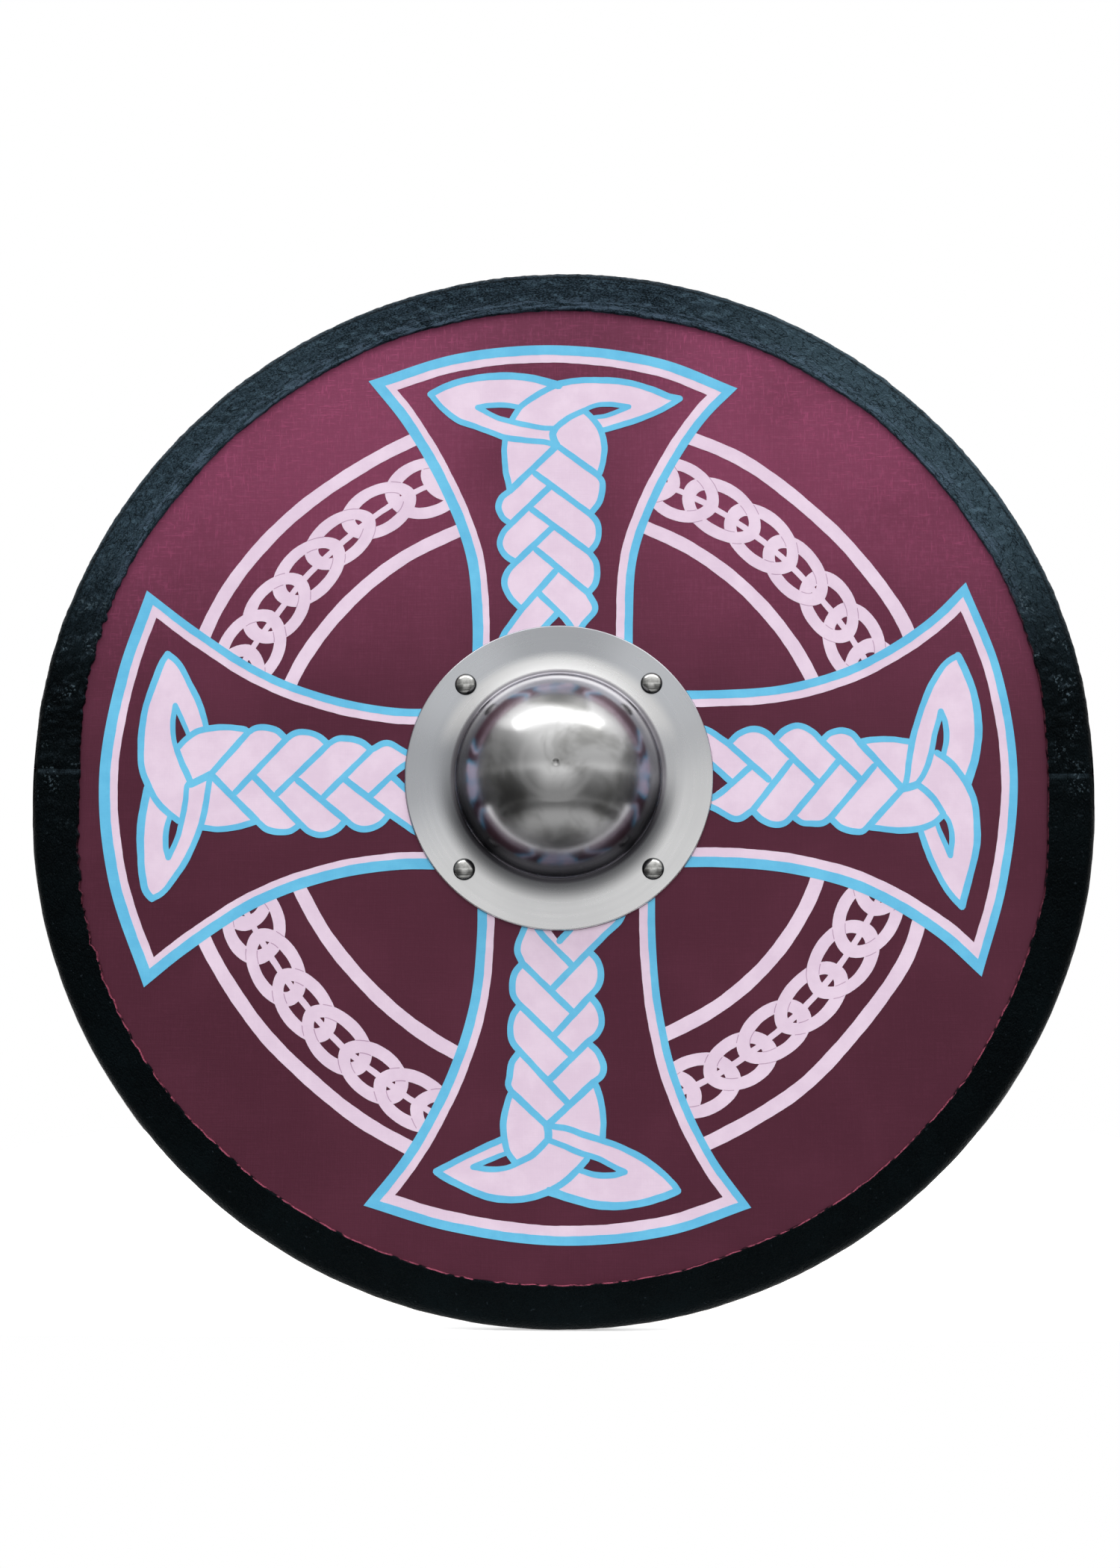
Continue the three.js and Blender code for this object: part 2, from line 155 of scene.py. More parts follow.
# The knots, in the same mm. Most rows are points on the middle of a brush stroke. notch and bulge are
# the narrow and the wide places down each side of the plait and foot is its end there. start and stop
# are the inner ends of the strokes that cross the plait, and c is where the two leaves above meet it
KNOTS = {
    "top": {
        "tip_l": (-76, 229.5), "tip_r": (71.5, 225), "c": (-1, 197),
        "upper_l": ((-65, 235), (-50, 239), (-30, 240.3), (-15, 238.5), (0, 234)),
        "lower_l": ((-70, 222), (-60, 213.4), (-50, 209.4), (-40, 205.5), (-32.5, 202.5), (-20, 200.4),
            (-7.5, 199)),
        "eye_l": (-47.9, 221),
        "eye_l_up": ((-42, 222), (-33, 222.3), (-24, 221)),
        "eye_l_low": ((-42, 217.5), (-35, 214), (-28, 212), (-20, 210), (-10, 208), (-4, 207.5)),
        "a_left": ((0, 235), (-8, 231), (-17, 225.5), (-23, 220.5), (-28, 212.5)),
        "a_right": ((15, 218.3), (8, 215), (2, 211), (-2, 207.5)),
        "upper_r": ((0, 234.5), (10, 236.8), (25, 237), (40, 235.5), (55, 231), (65, 226.5)),
        "lower_r": ((62, 219), (50, 213.5), (38, 209.5), (26, 206)),
        "eye_r": (41.5, 220.4),
        "eye_r_up": ((15, 218.5), (22, 221.5), (30, 222)),
        "eye_r_low": ((35, 217.5), (28, 215), (21, 214)),
        "petal_r": ((15, 218.3), (19, 214.5), (23, 209.5), (25.5, 204), (27, 196), (26.5, 190),
            (25.5, 184), (23.5, 179)),
        "petal_l": ((-2, 207.5), (-3.5, 204), (-2.5, 200)),
        "lobe": ((-31.5, 202), (-32, 195), (-31.7, 188), (-31, 181), (-29.5, 174.5)),
        "notch_l": ((-23.7, 98.1), (-27.2, 126.2), (-30.2, 149.4), (-31, 169.4)),
        "bulge_l": ((-33.8, 113.8), (-36.6, 136.9), (-37.5, 160)), "foot_l": (-33.7, 83.7),
        "notch_r": ((19.4, 107.5), (20, 131.9), (20.6, 155), (25, 178.8)),
        "bulge_r": ((23.4, 98.1), (24.6, 120), (25.6, 144.4), (27.8, 169.4)), "foot_r": (16, 88),
        "start": ((-11.3, 107.5), (-13.1, 133.8), (-15.6, 158.1), (-13.8, 180)),
        "stop": ((-1.2, 95), (-1.9, 120.6), (-3.1, 147.5), (-4.4, 172.5)),
    },
    "right": {
        "tip_l": (-69, 229), "tip_r": (75, 226), "c": (8.1, 195),
        "upper_l": ((-57.5, 233.8), (-45, 237.5), (-30, 239), (-20, 238.5), (-7.5, 236), (5, 231.5)),
        "lower_l": ((-65, 222.5), (-55, 215), (-45, 210), (-32.5, 205.3), (-20, 201.5), (-7.5, 199.1),
            (5, 196.9)),
        "eye_l": (-36.5, 218.1),
        "eye_l_up": ((-30, 220.3), (-21.3, 220.8), (-11.3, 218.8)),
        "eye_l_low": ((-30, 216.3), (-22.5, 214), (-12.5, 211.9), (-5, 209.4), (1.3, 206.3),
            (6.3, 202.5)),
        "a_left": ((5.6, 231.5), (-1.3, 226.9), (-7.5, 221.9), (-12.5, 215)),
        "a_right": ((22.5, 217.5), (15, 213.1), (10, 208.8), (5.6, 203.5)),
        "upper_r": ((6.3, 231.9), (15, 235), (25, 236), (40, 235.6), (55, 231.9), (67.5, 228.1)),
        "lower_r": ((67.5, 219.4), (55, 212.5), (42.5, 207.5), (31.9, 204.4)),
        "eye_r": (46.3, 220.6),
        "eye_r_up": ((23, 217.8), (27.5, 220.6), (35, 221.9)),
        "eye_r_low": ((40, 218.1), (33.8, 215.6), (27.5, 213.5)),
        "petal_r": ((23.1, 217.3), (27.5, 212.5), (30.6, 205), (31.9, 195), (31.5, 187.5), (30, 176.3)),
        "petal_l": ((5.6, 203.5), (6.9, 200)),
        "lobe": ((-19, 199.4), (-20.3, 190), (-20.4, 182.5), (-19.6, 175)),
        "notch_l": ((-20.6, 96.9), (-22.5, 123.1), (-21.9, 150), (-21, 171.5)),
        "bulge_l": ((-29, 111.3), (-30.8, 136.9), (-27.8, 161.9)), "foot_l": (-28.1, 86.3),
        "notch_r": ((22.5, 110), (25.6, 132.5), (26.9, 153.8), (31.9, 175)),
        "bulge_r": ((27.3, 101.3), (30.6, 123.1), (30, 143.8), (34.6, 166.9)), "foot_r": (21.3, 88.8),
        "start": ((-4.4, 108.8), (-7.5, 131.9), (-8.1, 159.4), (-5, 179.4)),
        "stop": ((3.1, 97.5), (2.5, 119.4), (3.8, 146.9), (2.5, 171.3)),
    },
    "bottom": {
        "tip_l": (-65.5, 230.6), "tip_r": (67.5, 220.6), "c": (6.3, 195.6),
        "upper_l": ((-57.5, 233.8), (-45, 237.3), (-32.5, 238.8), (-20, 238.1), (-7.5, 235), (5, 231)),
        "lower_l": ((-63.8, 227.8), (-55, 219.4), (-45, 212.5), (-32.5, 206.5), (-22.5, 203.1),
            (-13.8, 200.4), (-5, 197.3)),
        "eye_l": (-36.5, 220.6),
        "eye_l_up": ((-30, 222.3), (-21.3, 222.3), (-12.5, 220)),
        "eye_l_low": ((-30, 217.5), (-21.3, 213.1), (-12.5, 210.6), (-3.8, 206.9), (5, 203.5)),
        "a_left": ((5, 231), (-2.5, 226.5), (-10, 220), (-15.6, 213.8)),
        "a_right": ((23.8, 216.3), (15, 211.9), (10, 207.5), (5.6, 202.8)),
        "upper_r": ((6.3, 231.5), (15, 234.4), (27.5, 235.6), (40, 233.8), (52.5, 228.8), (62.5, 223.8)),
        "lower_r": ((55, 214.1), (42.5, 208.1), (31.3, 203.1)),
        "eye_r": (47.3, 218.1),
        "eye_r_up": ((24, 216.8), (30, 218.8), (37.5, 219.3)),
        "eye_r_low": ((40, 215), (28.8, 210.6)),
        "petal_r": ((24.4, 215), (28.1, 210), (30, 202.5), (30.6, 193.8), (29.4, 187.5), (26.9, 178.8)),
        "petal_l": ((5.6, 202.8), (5.6, 199.4)),
        "lobe": ((-24.4, 201.9), (-24.8, 193.8), (-24, 185), (-21.3, 175)),
        "notch_l": ((-19.4, 99.4), (-20, 124.4), (-18.5, 150), (-21.9, 171.9)),
        "bulge_l": ((-26, 112.5), (-26.3, 139.4), (-27.3, 163.8)), "foot_l": (-36.9, 81.9),
        "notch_r": ((22.5, 106.3), (23.8, 129.4), (23.8, 155), (28.1, 177.5)),
        "bulge_r": ((25.4, 98.8), (28.1, 118.8), (29.1, 143.8), (29.4, 168.8)), "foot_r": (21.3, 86.3),
        "start": ((-6.9, 106.9), (-7.5, 133.1), (-6.9, 156.9), (-5.6, 183.8)),
        "stop": ((-0.6, 93.8), (3.1, 120), (2.5, 146.3), (5, 170.6)),
    },
    "left": {
        "tip_l": (-69.5, 231.3), "tip_r": (73, 227.5), "c": (1.9, 200),
        "upper_l": ((-65, 235), (-55, 237.5), (-42.5, 238.8), (-30, 239.3), (-17.5, 238.1), (-5.6, 236)),
        "lower_l": ((-66.3, 225.6), (-57.5, 218.8), (-47.5, 212.5), (-37.5, 208.1), (-28.8, 205),
            (-17.5, 202.5), (-7.5, 201.3)),
        "eye_l": (-46, 222.8),
        "eye_l_up": ((-40, 224.4), (-31.3, 224.6), (-22.5, 222.8)),
        "eye_l_low": ((-40, 220), (-32.5, 217.3), (-23.8, 215.6), (-13.8, 214), (-3.8, 213.1)),
        "a_left": ((-5.6, 235.3), (-12.5, 231.3), (-18.8, 225.6), (-25, 217.5)),
        "a_right": ((16.3, 220), (8.8, 216.9), (2.5, 213.8), (-3.1, 211.3)),
        "upper_r": ((-5, 236.5), (5, 239.8), (17.5, 241), (30, 240.6), (42.5, 238.8), (55, 235),
            (67.5, 230.6)),
        "lower_r": ((67.5, 221), (55, 213.8), (42.5, 207.5), (30, 203.5)),
        "eye_r": (42.5, 221.9),
        "eye_r_up": ((16.9, 220.4), (23.8, 222.3), (32.5, 222.9)),
        "eye_r_low": ((35, 218.1), (25.6, 213.8)),
        "petal_r": ((16.9, 220), (22.5, 215), (26.9, 208.8), (28.8, 201.3), (29.4, 192.5), (28.8, 185),
            (27.5, 180)),
        "petal_l": ((-3.8, 211.3), (-1.3, 206.3)),
        "lobe": ((-28.8, 203.8), (-29.8, 195), (-29, 186.3), (-26.5, 176.3)),
        "notch_l": ((-23.8, 96.3), (-27.3, 121.3), (-29.4, 147.5), (-27.5, 172.5)),
        "bulge_l": ((-32.3, 109.4), (-35.6, 135), (-33.8, 160)), "foot_l": (-33.8, 81.9),
        "notch_r": ((18.1, 107.5), (21.3, 132.5), (24.4, 156.9), (28.1, 179.4)),
        "bulge_r": ((21.9, 98.8), (24.6, 121.9), (28.5, 146.3), (31.3, 168.8)), "foot_r": (16.3, 87.5),
        "start": ((-10.6, 107.5), (-11.3, 134.4), (-9.4, 161.3), (-8.8, 185.6)),
        "stop": ((-0.6, 94.4), (-1.3, 122.5), (-1.9, 149.4), (0.6, 175)),
    },
}

# The ring between the arms. The outer and the inner line and the bar are brush strokes through places
# of (angle in degrees, radius). Each link is (middle angle, middle radius, half length in degrees,
# half height)
LINE_BRUSH = 7.9
BAR_BRUSH = 3.4
QUARTERS = {
    "upper_right": {
        "outer": ((75, 216.5), (60, 215.5), (45, 214), (36, 215), (24, 217.5), (15, 215)),
        "inner": ((76, 157), (60, 154), (45, 153.5), (30, 154.5), (15, 158)),
        "links": ((75, 185.5, 7.5, 17), (67, 183, 7.5, 18), (58.5, 183, 8, 16.5), (49.5, 182.5, 8, 16.5),
            (41, 182.5, 7.5, 15), (32, 184.5, 7, 15.5), (24, 186.5, 7.5, 17.5), (16, 189.5, 8, 18.5)),
        "bar": ((76, 186), (60, 182), (45, 182), (33, 183.5), (26, 186), (16, 191)),
    },
    "upper_left": {
        "outer": ((166, 220), (158, 222.7), (148, 222.7), (135, 220.5), (120, 218.5), (105, 222)),
        "inner": ((167, 166.5), (155, 163.5), (140, 160), (125, 158), (106, 158.5)),
        "links": ((164, 196, 7.5, 17.5), (157, 194, 7.5, 19), (148.5, 192, 7, 17), (140, 190, 7.5, 16.5),
            (132, 190.5, 7, 15), (123.5, 190.5, 7, 15.5), (114, 188.5, 7.5, 18.5), (107, 189.5, 7.5, 18)),
        "bar": ((166, 197.5), (158, 194), (149, 190), (140, 189), (122, 189), (106, 191.5)),
    },
    "lower_left": {
        "outer": ((256, 227.5), (248, 223.5), (240, 221.8), (230, 219.8), (220, 220), (205, 221),
            (197, 219.5)),
        "inner": ((257, 169.5), (245, 164.5), (232, 161), (215, 159.7), (197, 163)),
        "links": ((253.5, 202, 7.5, 17), (246, 199, 7, 15.5), (238, 196, 6.5, 14.5), (230, 194, 7, 15),
            (222, 193, 7, 14.5), (214, 193, 7, 15), (205.5, 192, 7, 18), (199, 191, 7.5, 17.5)),
        "bar": ((256, 206), (245, 199), (239, 196), (231, 194.5), (214, 192), (198, 196)),
    },
    "lower_right": {
        "outer": ((345, 214.5), (337, 218.7), (330, 220), (310, 220), (300, 220), (284, 225)),
        "inner": ((347, 155.5), (335, 157.7), (320, 158), (305, 157.7), (284, 160.7)),
        "links": ((343, 192.5, 7.5, 17.5), (335, 191, 7.5, 18), (326.5, 190, 7.5, 17),
            (318, 189, 7.5, 15),
            (309.5, 187.5, 7, 15), (302, 189.5, 6.5, 15), (293.5, 190, 7.5, 17.5), (286, 189.5, 8, 17.5)),
        "bar": ((346, 195.5), (334, 192), (318, 189.5), (301, 189), (285, 193)),
    },
}

# The painter's hand: a factor on the widths of the knots' strokes, the thin line and the band of the
# chain and how far the sides of a plait are drawn inwards in mm, and how many points from the end of
# a line its corner is looked for
STROKE_FACTOR = 1.06
CHAIN_LINE = 0.5
CHAIN_BAND = 6.9
PLAIT_INSET = 2.2
CORNER_POINTS = 25


# Lines and brush strokes

def curve(points, step=1.4):
    """A smooth line through the points, in pieces of about one step."""
    p = [np.array(q, float) for q in points]
    if len(p) == 2:
        count = max(1, round(float(np.linalg.norm(p[1] - p[0])) / step))
        return [p[0] + (p[1] - p[0]) * i / count for i in range(count + 1)]
    p = [2 * p[0] - p[1]] + p + [2 * p[-1] - p[-2]]
    out = [p[1]]
    for a, b, c, d in zip(p, p[1:], p[2:], p[3:]):
        ta, tb, tc = (max(1e-6, float(np.linalg.norm(w - v))) ** 0.5 for v, w in ((a, b), (b, c), (c, d)))
        leave = ((b - a) / ta - (c - a) / (ta + tb) + (c - b) / tb) * tb
        arrive = ((c - b) / tb - (d - b) / (tb + tc) + (d - c) / tc) * tb
        count = max(1, round(float(np.linalg.norm(c - b)) / step))
        for i in range(1, count + 1):
            t = i / count
            out.append((2 * t**3 - 3 * t**2 + 1) * b + (t**3 - 2 * t**2 + t) * leave
                       + (3 * t**2 - 2 * t**3) * c + (t**3 - t**2) * arrive)
    return out


def walk(line):
    """Each point of a line, with the way to its left and how far along the line it lies."""
    far = 0.0
    for i, point in enumerate(line):
        behind, ahead = line[max(i - 1, 0)], line[min(i + 1, len(line) - 1)]
        way = (ahead - behind) / max(1e-9, float(np.linalg.norm(ahead - behind)))
        far += float(np.linalg.norm(point - behind))
        yield point, np.array((-way[1], way[0])), far


def wander(far, seed):
    """A slow, even wander between about -1 and 1."""
    waves = ((0.5, 5.3, 2.1), (0.3, 2.3, 4.7), (0.2, 1.1, 1))
    return sum(share * math.sin(far / length + start * seed) for share, length, start in waves)


def ribbon(line, width, seed, rough=0.16, taper=(1, 1)):
    """The outline of a brush stroke along the line, with round ends."""
    def cap(a, b):
        middle, arm = (a + b) / 2, (a - b) / 2
        turn = np.array((arm[1], -arm[0]))
        return [middle + arm * math.cos(t) + turn * math.sin(t) for t in np.radians((45, 90, 135))]

    steps = list(walk(line))
    length = max(1e-9, steps[-1][2])
    left, right = [], []
    for point, aside, far in steps:
        half = width / 2 * (taper[0] + (taper[1] - taper[0]) * far / length)
        left.append(point + aside * (half + rough * wander(far, seed)))
        right.append(point - aside * (half + rough * wander(far, seed + 3.1)))
    return left + cap(left[-1], right[-1]) + right[::-1] + cap(right[0], left[0])


def rough_edge(line, seed, rough=0.18):
    """The line with its points moved a little to either side, as a brush leaves them."""
    return [point + aside * rough * wander(far, seed) for point, aside, far in walk(line)]


def cross(a, b):
    return a[0] * b[1] - a[1] * b[0]


def joined(first, second):
    """One line out of two, each cut where the end of the first crosses the start of the second."""
    for i in range(len(first) - 2, len(first) - CORNER_POINTS, -1):
        for j in range(CORNER_POINTS):
            a, b, c, d = first[i], first[i + 1], second[j], second[j + 1]
            lean = cross(b - a, d - c)
            if abs(lean) < 1e-9:
                continue
            along, other = cross(c - a, d - c) / lean, cross(c - a, b - a) / lean
            if 0 <= along <= 1 and 0 <= other <= 1:
                return first[:i + 1] + [a + (b - a) * along] + second[j + 1:]
    return first + second[1:]


def wound(points, loop):
    """Which points a closed loop winds round, looked for only inside its box."""
    loop = np.asarray(loop, float)
    held = np.zeros(len(points), bool)
    near = ((points >= loop.min(axis=0)) & (points <= loop.max(axis=0))).all(axis=1)
    a, b = loop, np.roll(loop, -1, axis=0)
    px, py = points[near, 0][:, None], points[near, 1][:, None]
    side = (b[:, 0] - a[:, 0]) * (py - a[:, 1]) - (px - a[:, 0]) * (b[:, 1] - a[:, 1])
    up = (a[:, 1] <= py) & (b[:, 1] > py) & (side > 0)
    down = (a[:, 1] > py) & (b[:, 1] <= py) & (side < 0)
    held[near] = up.sum(axis=1) != down.sum(axis=1)
    return held


# The painted pattern, in regions of (word, loops, holes), where a later one lies on top

def border_lines(name):
    """The three lines of an arm's border, each up its left, across its end and down its right."""
    rows = BORDERS[name]
    left_corner, right_corner = rows["corners"]
    left = [(rows["left"][0], ARM_FOOT), *zip(rows["left"], RISES), left_corner]
    end = [left_corner, *zip(SPANS, rows["end"]), right_corner]
    right = [right_corner, *zip(rows["right"][::-1], RISES[::-1]), (rows["right"][0], ARM_FOOT)]
    lines = []
    for which in range(3):
        parts = []
        for i, points in enumerate((left, end, right)):
            inwards = sum(rows["widths"][i][:which])
            line = [point - aside * inwards for point, aside, _ in walk(curve(points))]
            parts.append(rough_edge(line, len(name) + which * 2.3 + i) if which else line)
        lines.append(joined(joined(parts[0], parts[1]), parts[2]))
    return lines


def inward(point):
    return point - np.array((math.copysign(PLAIT_INSET, point[0]), 0))


def scallop(top, out, low):
    """A bulge between two notches of the plait, through its widest point."""
    side = math.copysign(1, out[0] - (top[0] + low[0]) / 2)

    def between(a, b, push):
        chord = b - a
        across = np.array((chord[1], -chord[0])) / np.linalg.norm(chord)
        return (a + b) / 2 + across * math.copysign(push, across[0] * side)
    return [top, between(top, out, 1.5), out, between(out, low, 1.7), low]


def plait_side(notches, bulges, foot, drop):
    """The scallops down one side of a plait, and its foot, which runs on under the boss."""
    scallops = [scallop(notches[i], bulges[i], notches[i - 1]) for i in (3, 2, 1)]
    return [*scallops, [notches[0], bulges[0], foot, foot + drop]]


def outline_down(line, side):
    out = curve(line)
    for points in side:
        out += curve(points)[1:]
    return out


def knot_regions(name):
    """A knot as the brush leaves it: pink bands, bare eyes between them, and blue strokes on top."""
    k = {key: np.array(value, float) for key, value in KNOTS[name].items()}
    tip_l, tip_r, middle = k["tip_l"], k["tip_r"], k["c"]
    notch_l, notch_r = [inward(p) for p in k["notch_l"]], [inward(p) for p in k["notch_r"]]
    bulge_l, bulge_r = [inward(p) for p in k["bulge_l"]], [inward(p) for p in k["bulge_r"]]
    foot_l, foot_r = inward(k["foot_l"]), inward(k["foot_r"])
    left_side = plait_side(notch_l, [(notch_l[0] + foot_l) / 2, *bulge_l], foot_l, (-3, -8))
    right_side = plait_side(notch_r, bulge_r, foot_r, (-6, -12))
    lobe, petal = [*k["lobe"], notch_l[3]], [*k["petal_r"], notch_r[3]]
    upper_l, lower_l = [tip_l, *k["upper_l"]], [tip_l, *k["lower_l"], middle]
    upper_r, lower_r = [k["a_left"][0], *k["upper_r"][1:], tip_r], [tip_r, *k["lower_r"]]
    eye_l_up, eye_l_low = [k["eye_l"], *k["eye_l_up"]], [k["eye_l"], *k["eye_l_low"]]
    eye_r_up, eye_r_low = [*k["eye_r_up"], k["eye_r"]], [k["eye_r"], *k["eye_r_low"]]

    body = outline_down(lobe, left_side) + outline_down(petal, right_side)[::-1] + curve(k["a_right"])
    leaf_l = curve(upper_l) + [middle] + curve(lower_l)[::-1]
    leaf_r = curve(upper_r) + curve(lower_r)[1:] + [middle] + curve(k["a_left"])[::-1]
    a_end = k["a_left"][-1]
    eye_l = curve(eye_l_up) + [a_end] + curve([p for p in eye_l_low if p[0] < a_end[0] + 2])[::-1]
    eye_r = curve(eye_r_up) + curve(eye_r_low)[1:]
    peak = k["stop"][0]
    gap = [peak + (0, 0.6), peak + (-10, -14), peak + (11, -14)]

    strokes = [(upper_l, 4.3, (0.85, 1.05)), (lower_l, 3.3), (eye_l_up, 3)]
    strokes += [([*eye_l_low, k["a_right"][-1]], 3), (k["a_left"], 3.4), (upper_r, 3.6), (k["a_right"], 3.4)]
    strokes += [(lower_r, 3.3), (eye_r_up, 2.8), (eye_r_low, 2.6), (petal, 3.4)]
    strokes += [([*k["petal_l"], middle], 4), (lobe, 3.3)]
    strokes += [(side, 3.4) for side in left_side + right_side]
    strokes += [([middle, notch_r[3]], 3.6), ([notch_l[3], middle], 3.8)]
    strokes += [([notch_l[i], k["stop"][i + 1]], 3.6) for i in range(3)]
    strokes += [([k["start"][i + 1], notch_r[i]], 3.5) for i in range(3)]
    strokes.append(([k["start"][0], foot_r + (-6, -2), right_side[-1][-1]], 3.4))
    strokes.append(([peak + (-12, -13), peak], 3.4))
    regions = [("pink", [body, leaf_l, leaf_r], []), ("bare", [eye_l, eye_r, gap], [])]
    for i, (points, width, *taper) in enumerate(strokes):
        stroke = ribbon(curve(points), width * STROKE_FACTOR, i * 1.37, taper=taper[0] if taper else (1, 1))
        regions.append(("blue", [stroke], []))
    return regions


def arm_regions(name):
    outer, middle, inner = border_lines(name)
    blue, pink = outer + middle[::-1], middle + inner[::-1]
    return [("blue", [blue], []), ("pink", [pink], []), *knot_regions(name)]


def arm_outline(name):
    return border_lines(name)[0] + [(0, 20)]


# Where a point drawn on the upright arm lies on each arm
TURNS = {
    "top": lambda p: (p[0], p[1]),
    "right": lambda p: (p[1], -p[0]),
    "bottom": lambda p: (-p[0], -p[1]),
    "left": lambda p: (-p[1], p[0]),
}


def polar(angle, radius):
    return np.array((radius * math.cos(math.radians(angle)), radius * math.sin(math.radians(angle))))


def link_loop(link, thin, seed, steps=48):
    """The outer edge of a link, or its inner edge if thin is over zero. A link leans, most at its top."""
    angle, radius, reach, height = link
    long, tall = math.radians(reach) * radius - thin * 1.12, height - thin
    out = []
    for i in range(steps):
        turn = 2 * math.pi * i / steps
        up = tall * math.sin(turn)
        along = long * math.cos(turn) - (0.22 if up > 0 else 0.04) * up
        out.append(polar(angle - math.degrees(along / radius), radius + up + 0.16 * wander(turn * 20, seed)))
    return out


def runs_within(loop, outer, hole):
    """The stretches of a loop that lie between an outer edge and a hole."""
    points = np.asarray(loop)
    held = wound(points, outer) & ~wound(points, hole)
    if held.all():
        return [loop]
    first = int(np.argmin(held))
    runs, run = [], []
    for i in (*range(first, len(loop)), *range(first + 1)):
        if held[i]:
            run.append(loop[i])
            continue
        if len(run) > 2:
            runs.append(run)
        run = []
    return runs


def quarter_regions(name):
    """The two lines, the bar and the links of a quarter, with a thin line where a link crosses the next."""
    quarter = QUARTERS[name]
    seed = len(name) * 0.7
    regions = []
    for key, brush in (("outer", LINE_BRUSH), ("inner", LINE_BRUSH), ("bar", BAR_BRUSH)):
        line = curve([polar(*place) for place in quarter[key]])
        regions.append(("pink", [ribbon(line, brush, seed + len(regions) * 5)], []))
    loops = []
    for i, link in enumerate(quarter["links"]):
        loops.append((link_loop(link, 0, seed + i), link_loop(link, CHAIN_BAND, seed + i + 0.5)))
        regions.append(("pink", [loops[-1][0]], [loops[-1][1]]))
    for over, under in zip(loops, loops[1:]):
        for edge in over:
            for run in runs_within(edge, *under):
                regions.append(("line", [ribbon(run, CHAIN_LINE, seed, rough=0.05)], []))
    return regions


# Meshes

def place(x, up, out):
    return (x / 1000, -out / 1000, up / 1000)


def new_object(name, data):
    made = bpy.data.objects.new(name, data)
    bpy.context.scene.collection.objects.link(made)
    return made


def new_mesh(name, points, faces):
    mesh = bpy.data.meshes.new(name)
    mesh.from_pydata([place(*p) for p in points], [], faces)
    return mesh


def new_piece(name, points, faces, material, smooth=None, node=None):
    mesh = new_mesh(name, points, faces)
    mesh.validate()
    mesh.materials.append(material)
    if smooth is not None:
        mesh.shade_smooth()
        mesh.set_sharp_from_angle(angle=math.radians(smooth))
    piece = new_object(name, mesh)
    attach(piece, "root")
    if node:
        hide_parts(node)
    return piece


def tube_faces(rings, count):
    """Faces of a tube of rings of count points each, closed at both ends."""
    faces = [tuple(range(count))]
    for i in range(rings - 1):
        a, b = i * count, (i + 1) * count
        for j in range(count):
            k = (j + 1) % count
            faces.append((b + j, b + k, a + k, a + j))
    last = (rings - 1) * count
    return faces + [tuple(range(last + count - 1, last - 1, -1))]


def lathe(profile, steps, centre=(0, 0), shape=None):
    """A profile of (radius, out) points from the axis on, or a closed ring, spun about the out axis."""
    points, rows = [], []
    for radius, out in profile:
        row = []
        for i in range(steps):
            if radius < 1e-6 and i:
                row.append(row[0])
                continue
            angle = 2 * math.pi * i / steps
            reach, height = shape(radius, out, angle) if shape else (radius, out)
            row.append(len(points))
            points.append((centre[0] + reach * math.cos(angle), centre[1] + reach * math.sin(angle), height))
        rows.append(row)
    if profile[0] == profile[-1]:
        rows[-1] = rows[0]
        points = points[:steps * (len(profile) - 1)]
    faces = []
    for lower, upper in zip(rows, rows[1:]):
        for i in range(steps):
            k = (i + 1) % steps
            corners = tuple(dict.fromkeys((lower[i], lower[k], upper[k], upper[i])))
            if len(corners) > 2:
                faces.append(corners)
    return points, faces


def arc(centre, radius, start, end, steps, tall=None):
    """Points on a part of a circle, or of an ellipse if its height is given too."""
    out = []
    for i in range(steps + 1):
        angle = math.radians(start + (end - start) * i / steps)
        out.append((centre[0] + radius * math.cos(angle), centre[1] + (tall or radius) * math.sin(angle)))
    return out


def between(start, stop, steps):
    """The points that split a straight line into steps, without its ends."""
    shares = [i / steps for i in range(1, steps)]
    return [(start[0] + (stop[0] - start[0]) * t, start[1] + (stop[1] - start[1]) * t) for t in shares]


def smooth_step(share):
    held = min(1, max(0, share))
    return held * held * (3 - 2 * held)


def rough_noise(x, y, z, octaves=3):
    total, size = 0.0, 1.0
    for _ in range(octaves):
        total += size * noise.noise(Vector((x, y, z)))
        x, y, z, size = x * 2.1, y * 2.1, z * 2.1, size * 0.5
    return total


# Flat pieces cut out of the plane of the face

def cut_plane(regions):
    """Triangles of the plane, split along every loop: points, triangles, and the word for each triangle."""
    points, edges = [], []
    for _, loops, holes in regions:
        for loop in (*loops, *holes):
            first = len(points)
            points += [Vector((float(p[0]), float(p[1]))) for p in loop]
            edges += [(first + i, first + (i + 1) % len(loop)) for i in range(len(loop))]
    found = geometry.delaunay_2d_cdt(points, edges, [], 0, 1e-4, False)
    where, triangles = np.array([tuple(p) for p in found[0]]), np.array(found[2])
    middles = where[triangles].mean(axis=1)
    words = np.full(len(triangles), "bare", dtype=object)
    for word, loops, holes in regions:
        held = np.zeros(len(middles), bool)
        for loop in loops:
            held |= wound(middles, loop)
        for loop in holes:
            held &= ~wound(middles, loop)
        words[held] = word
    return where, triangles, words


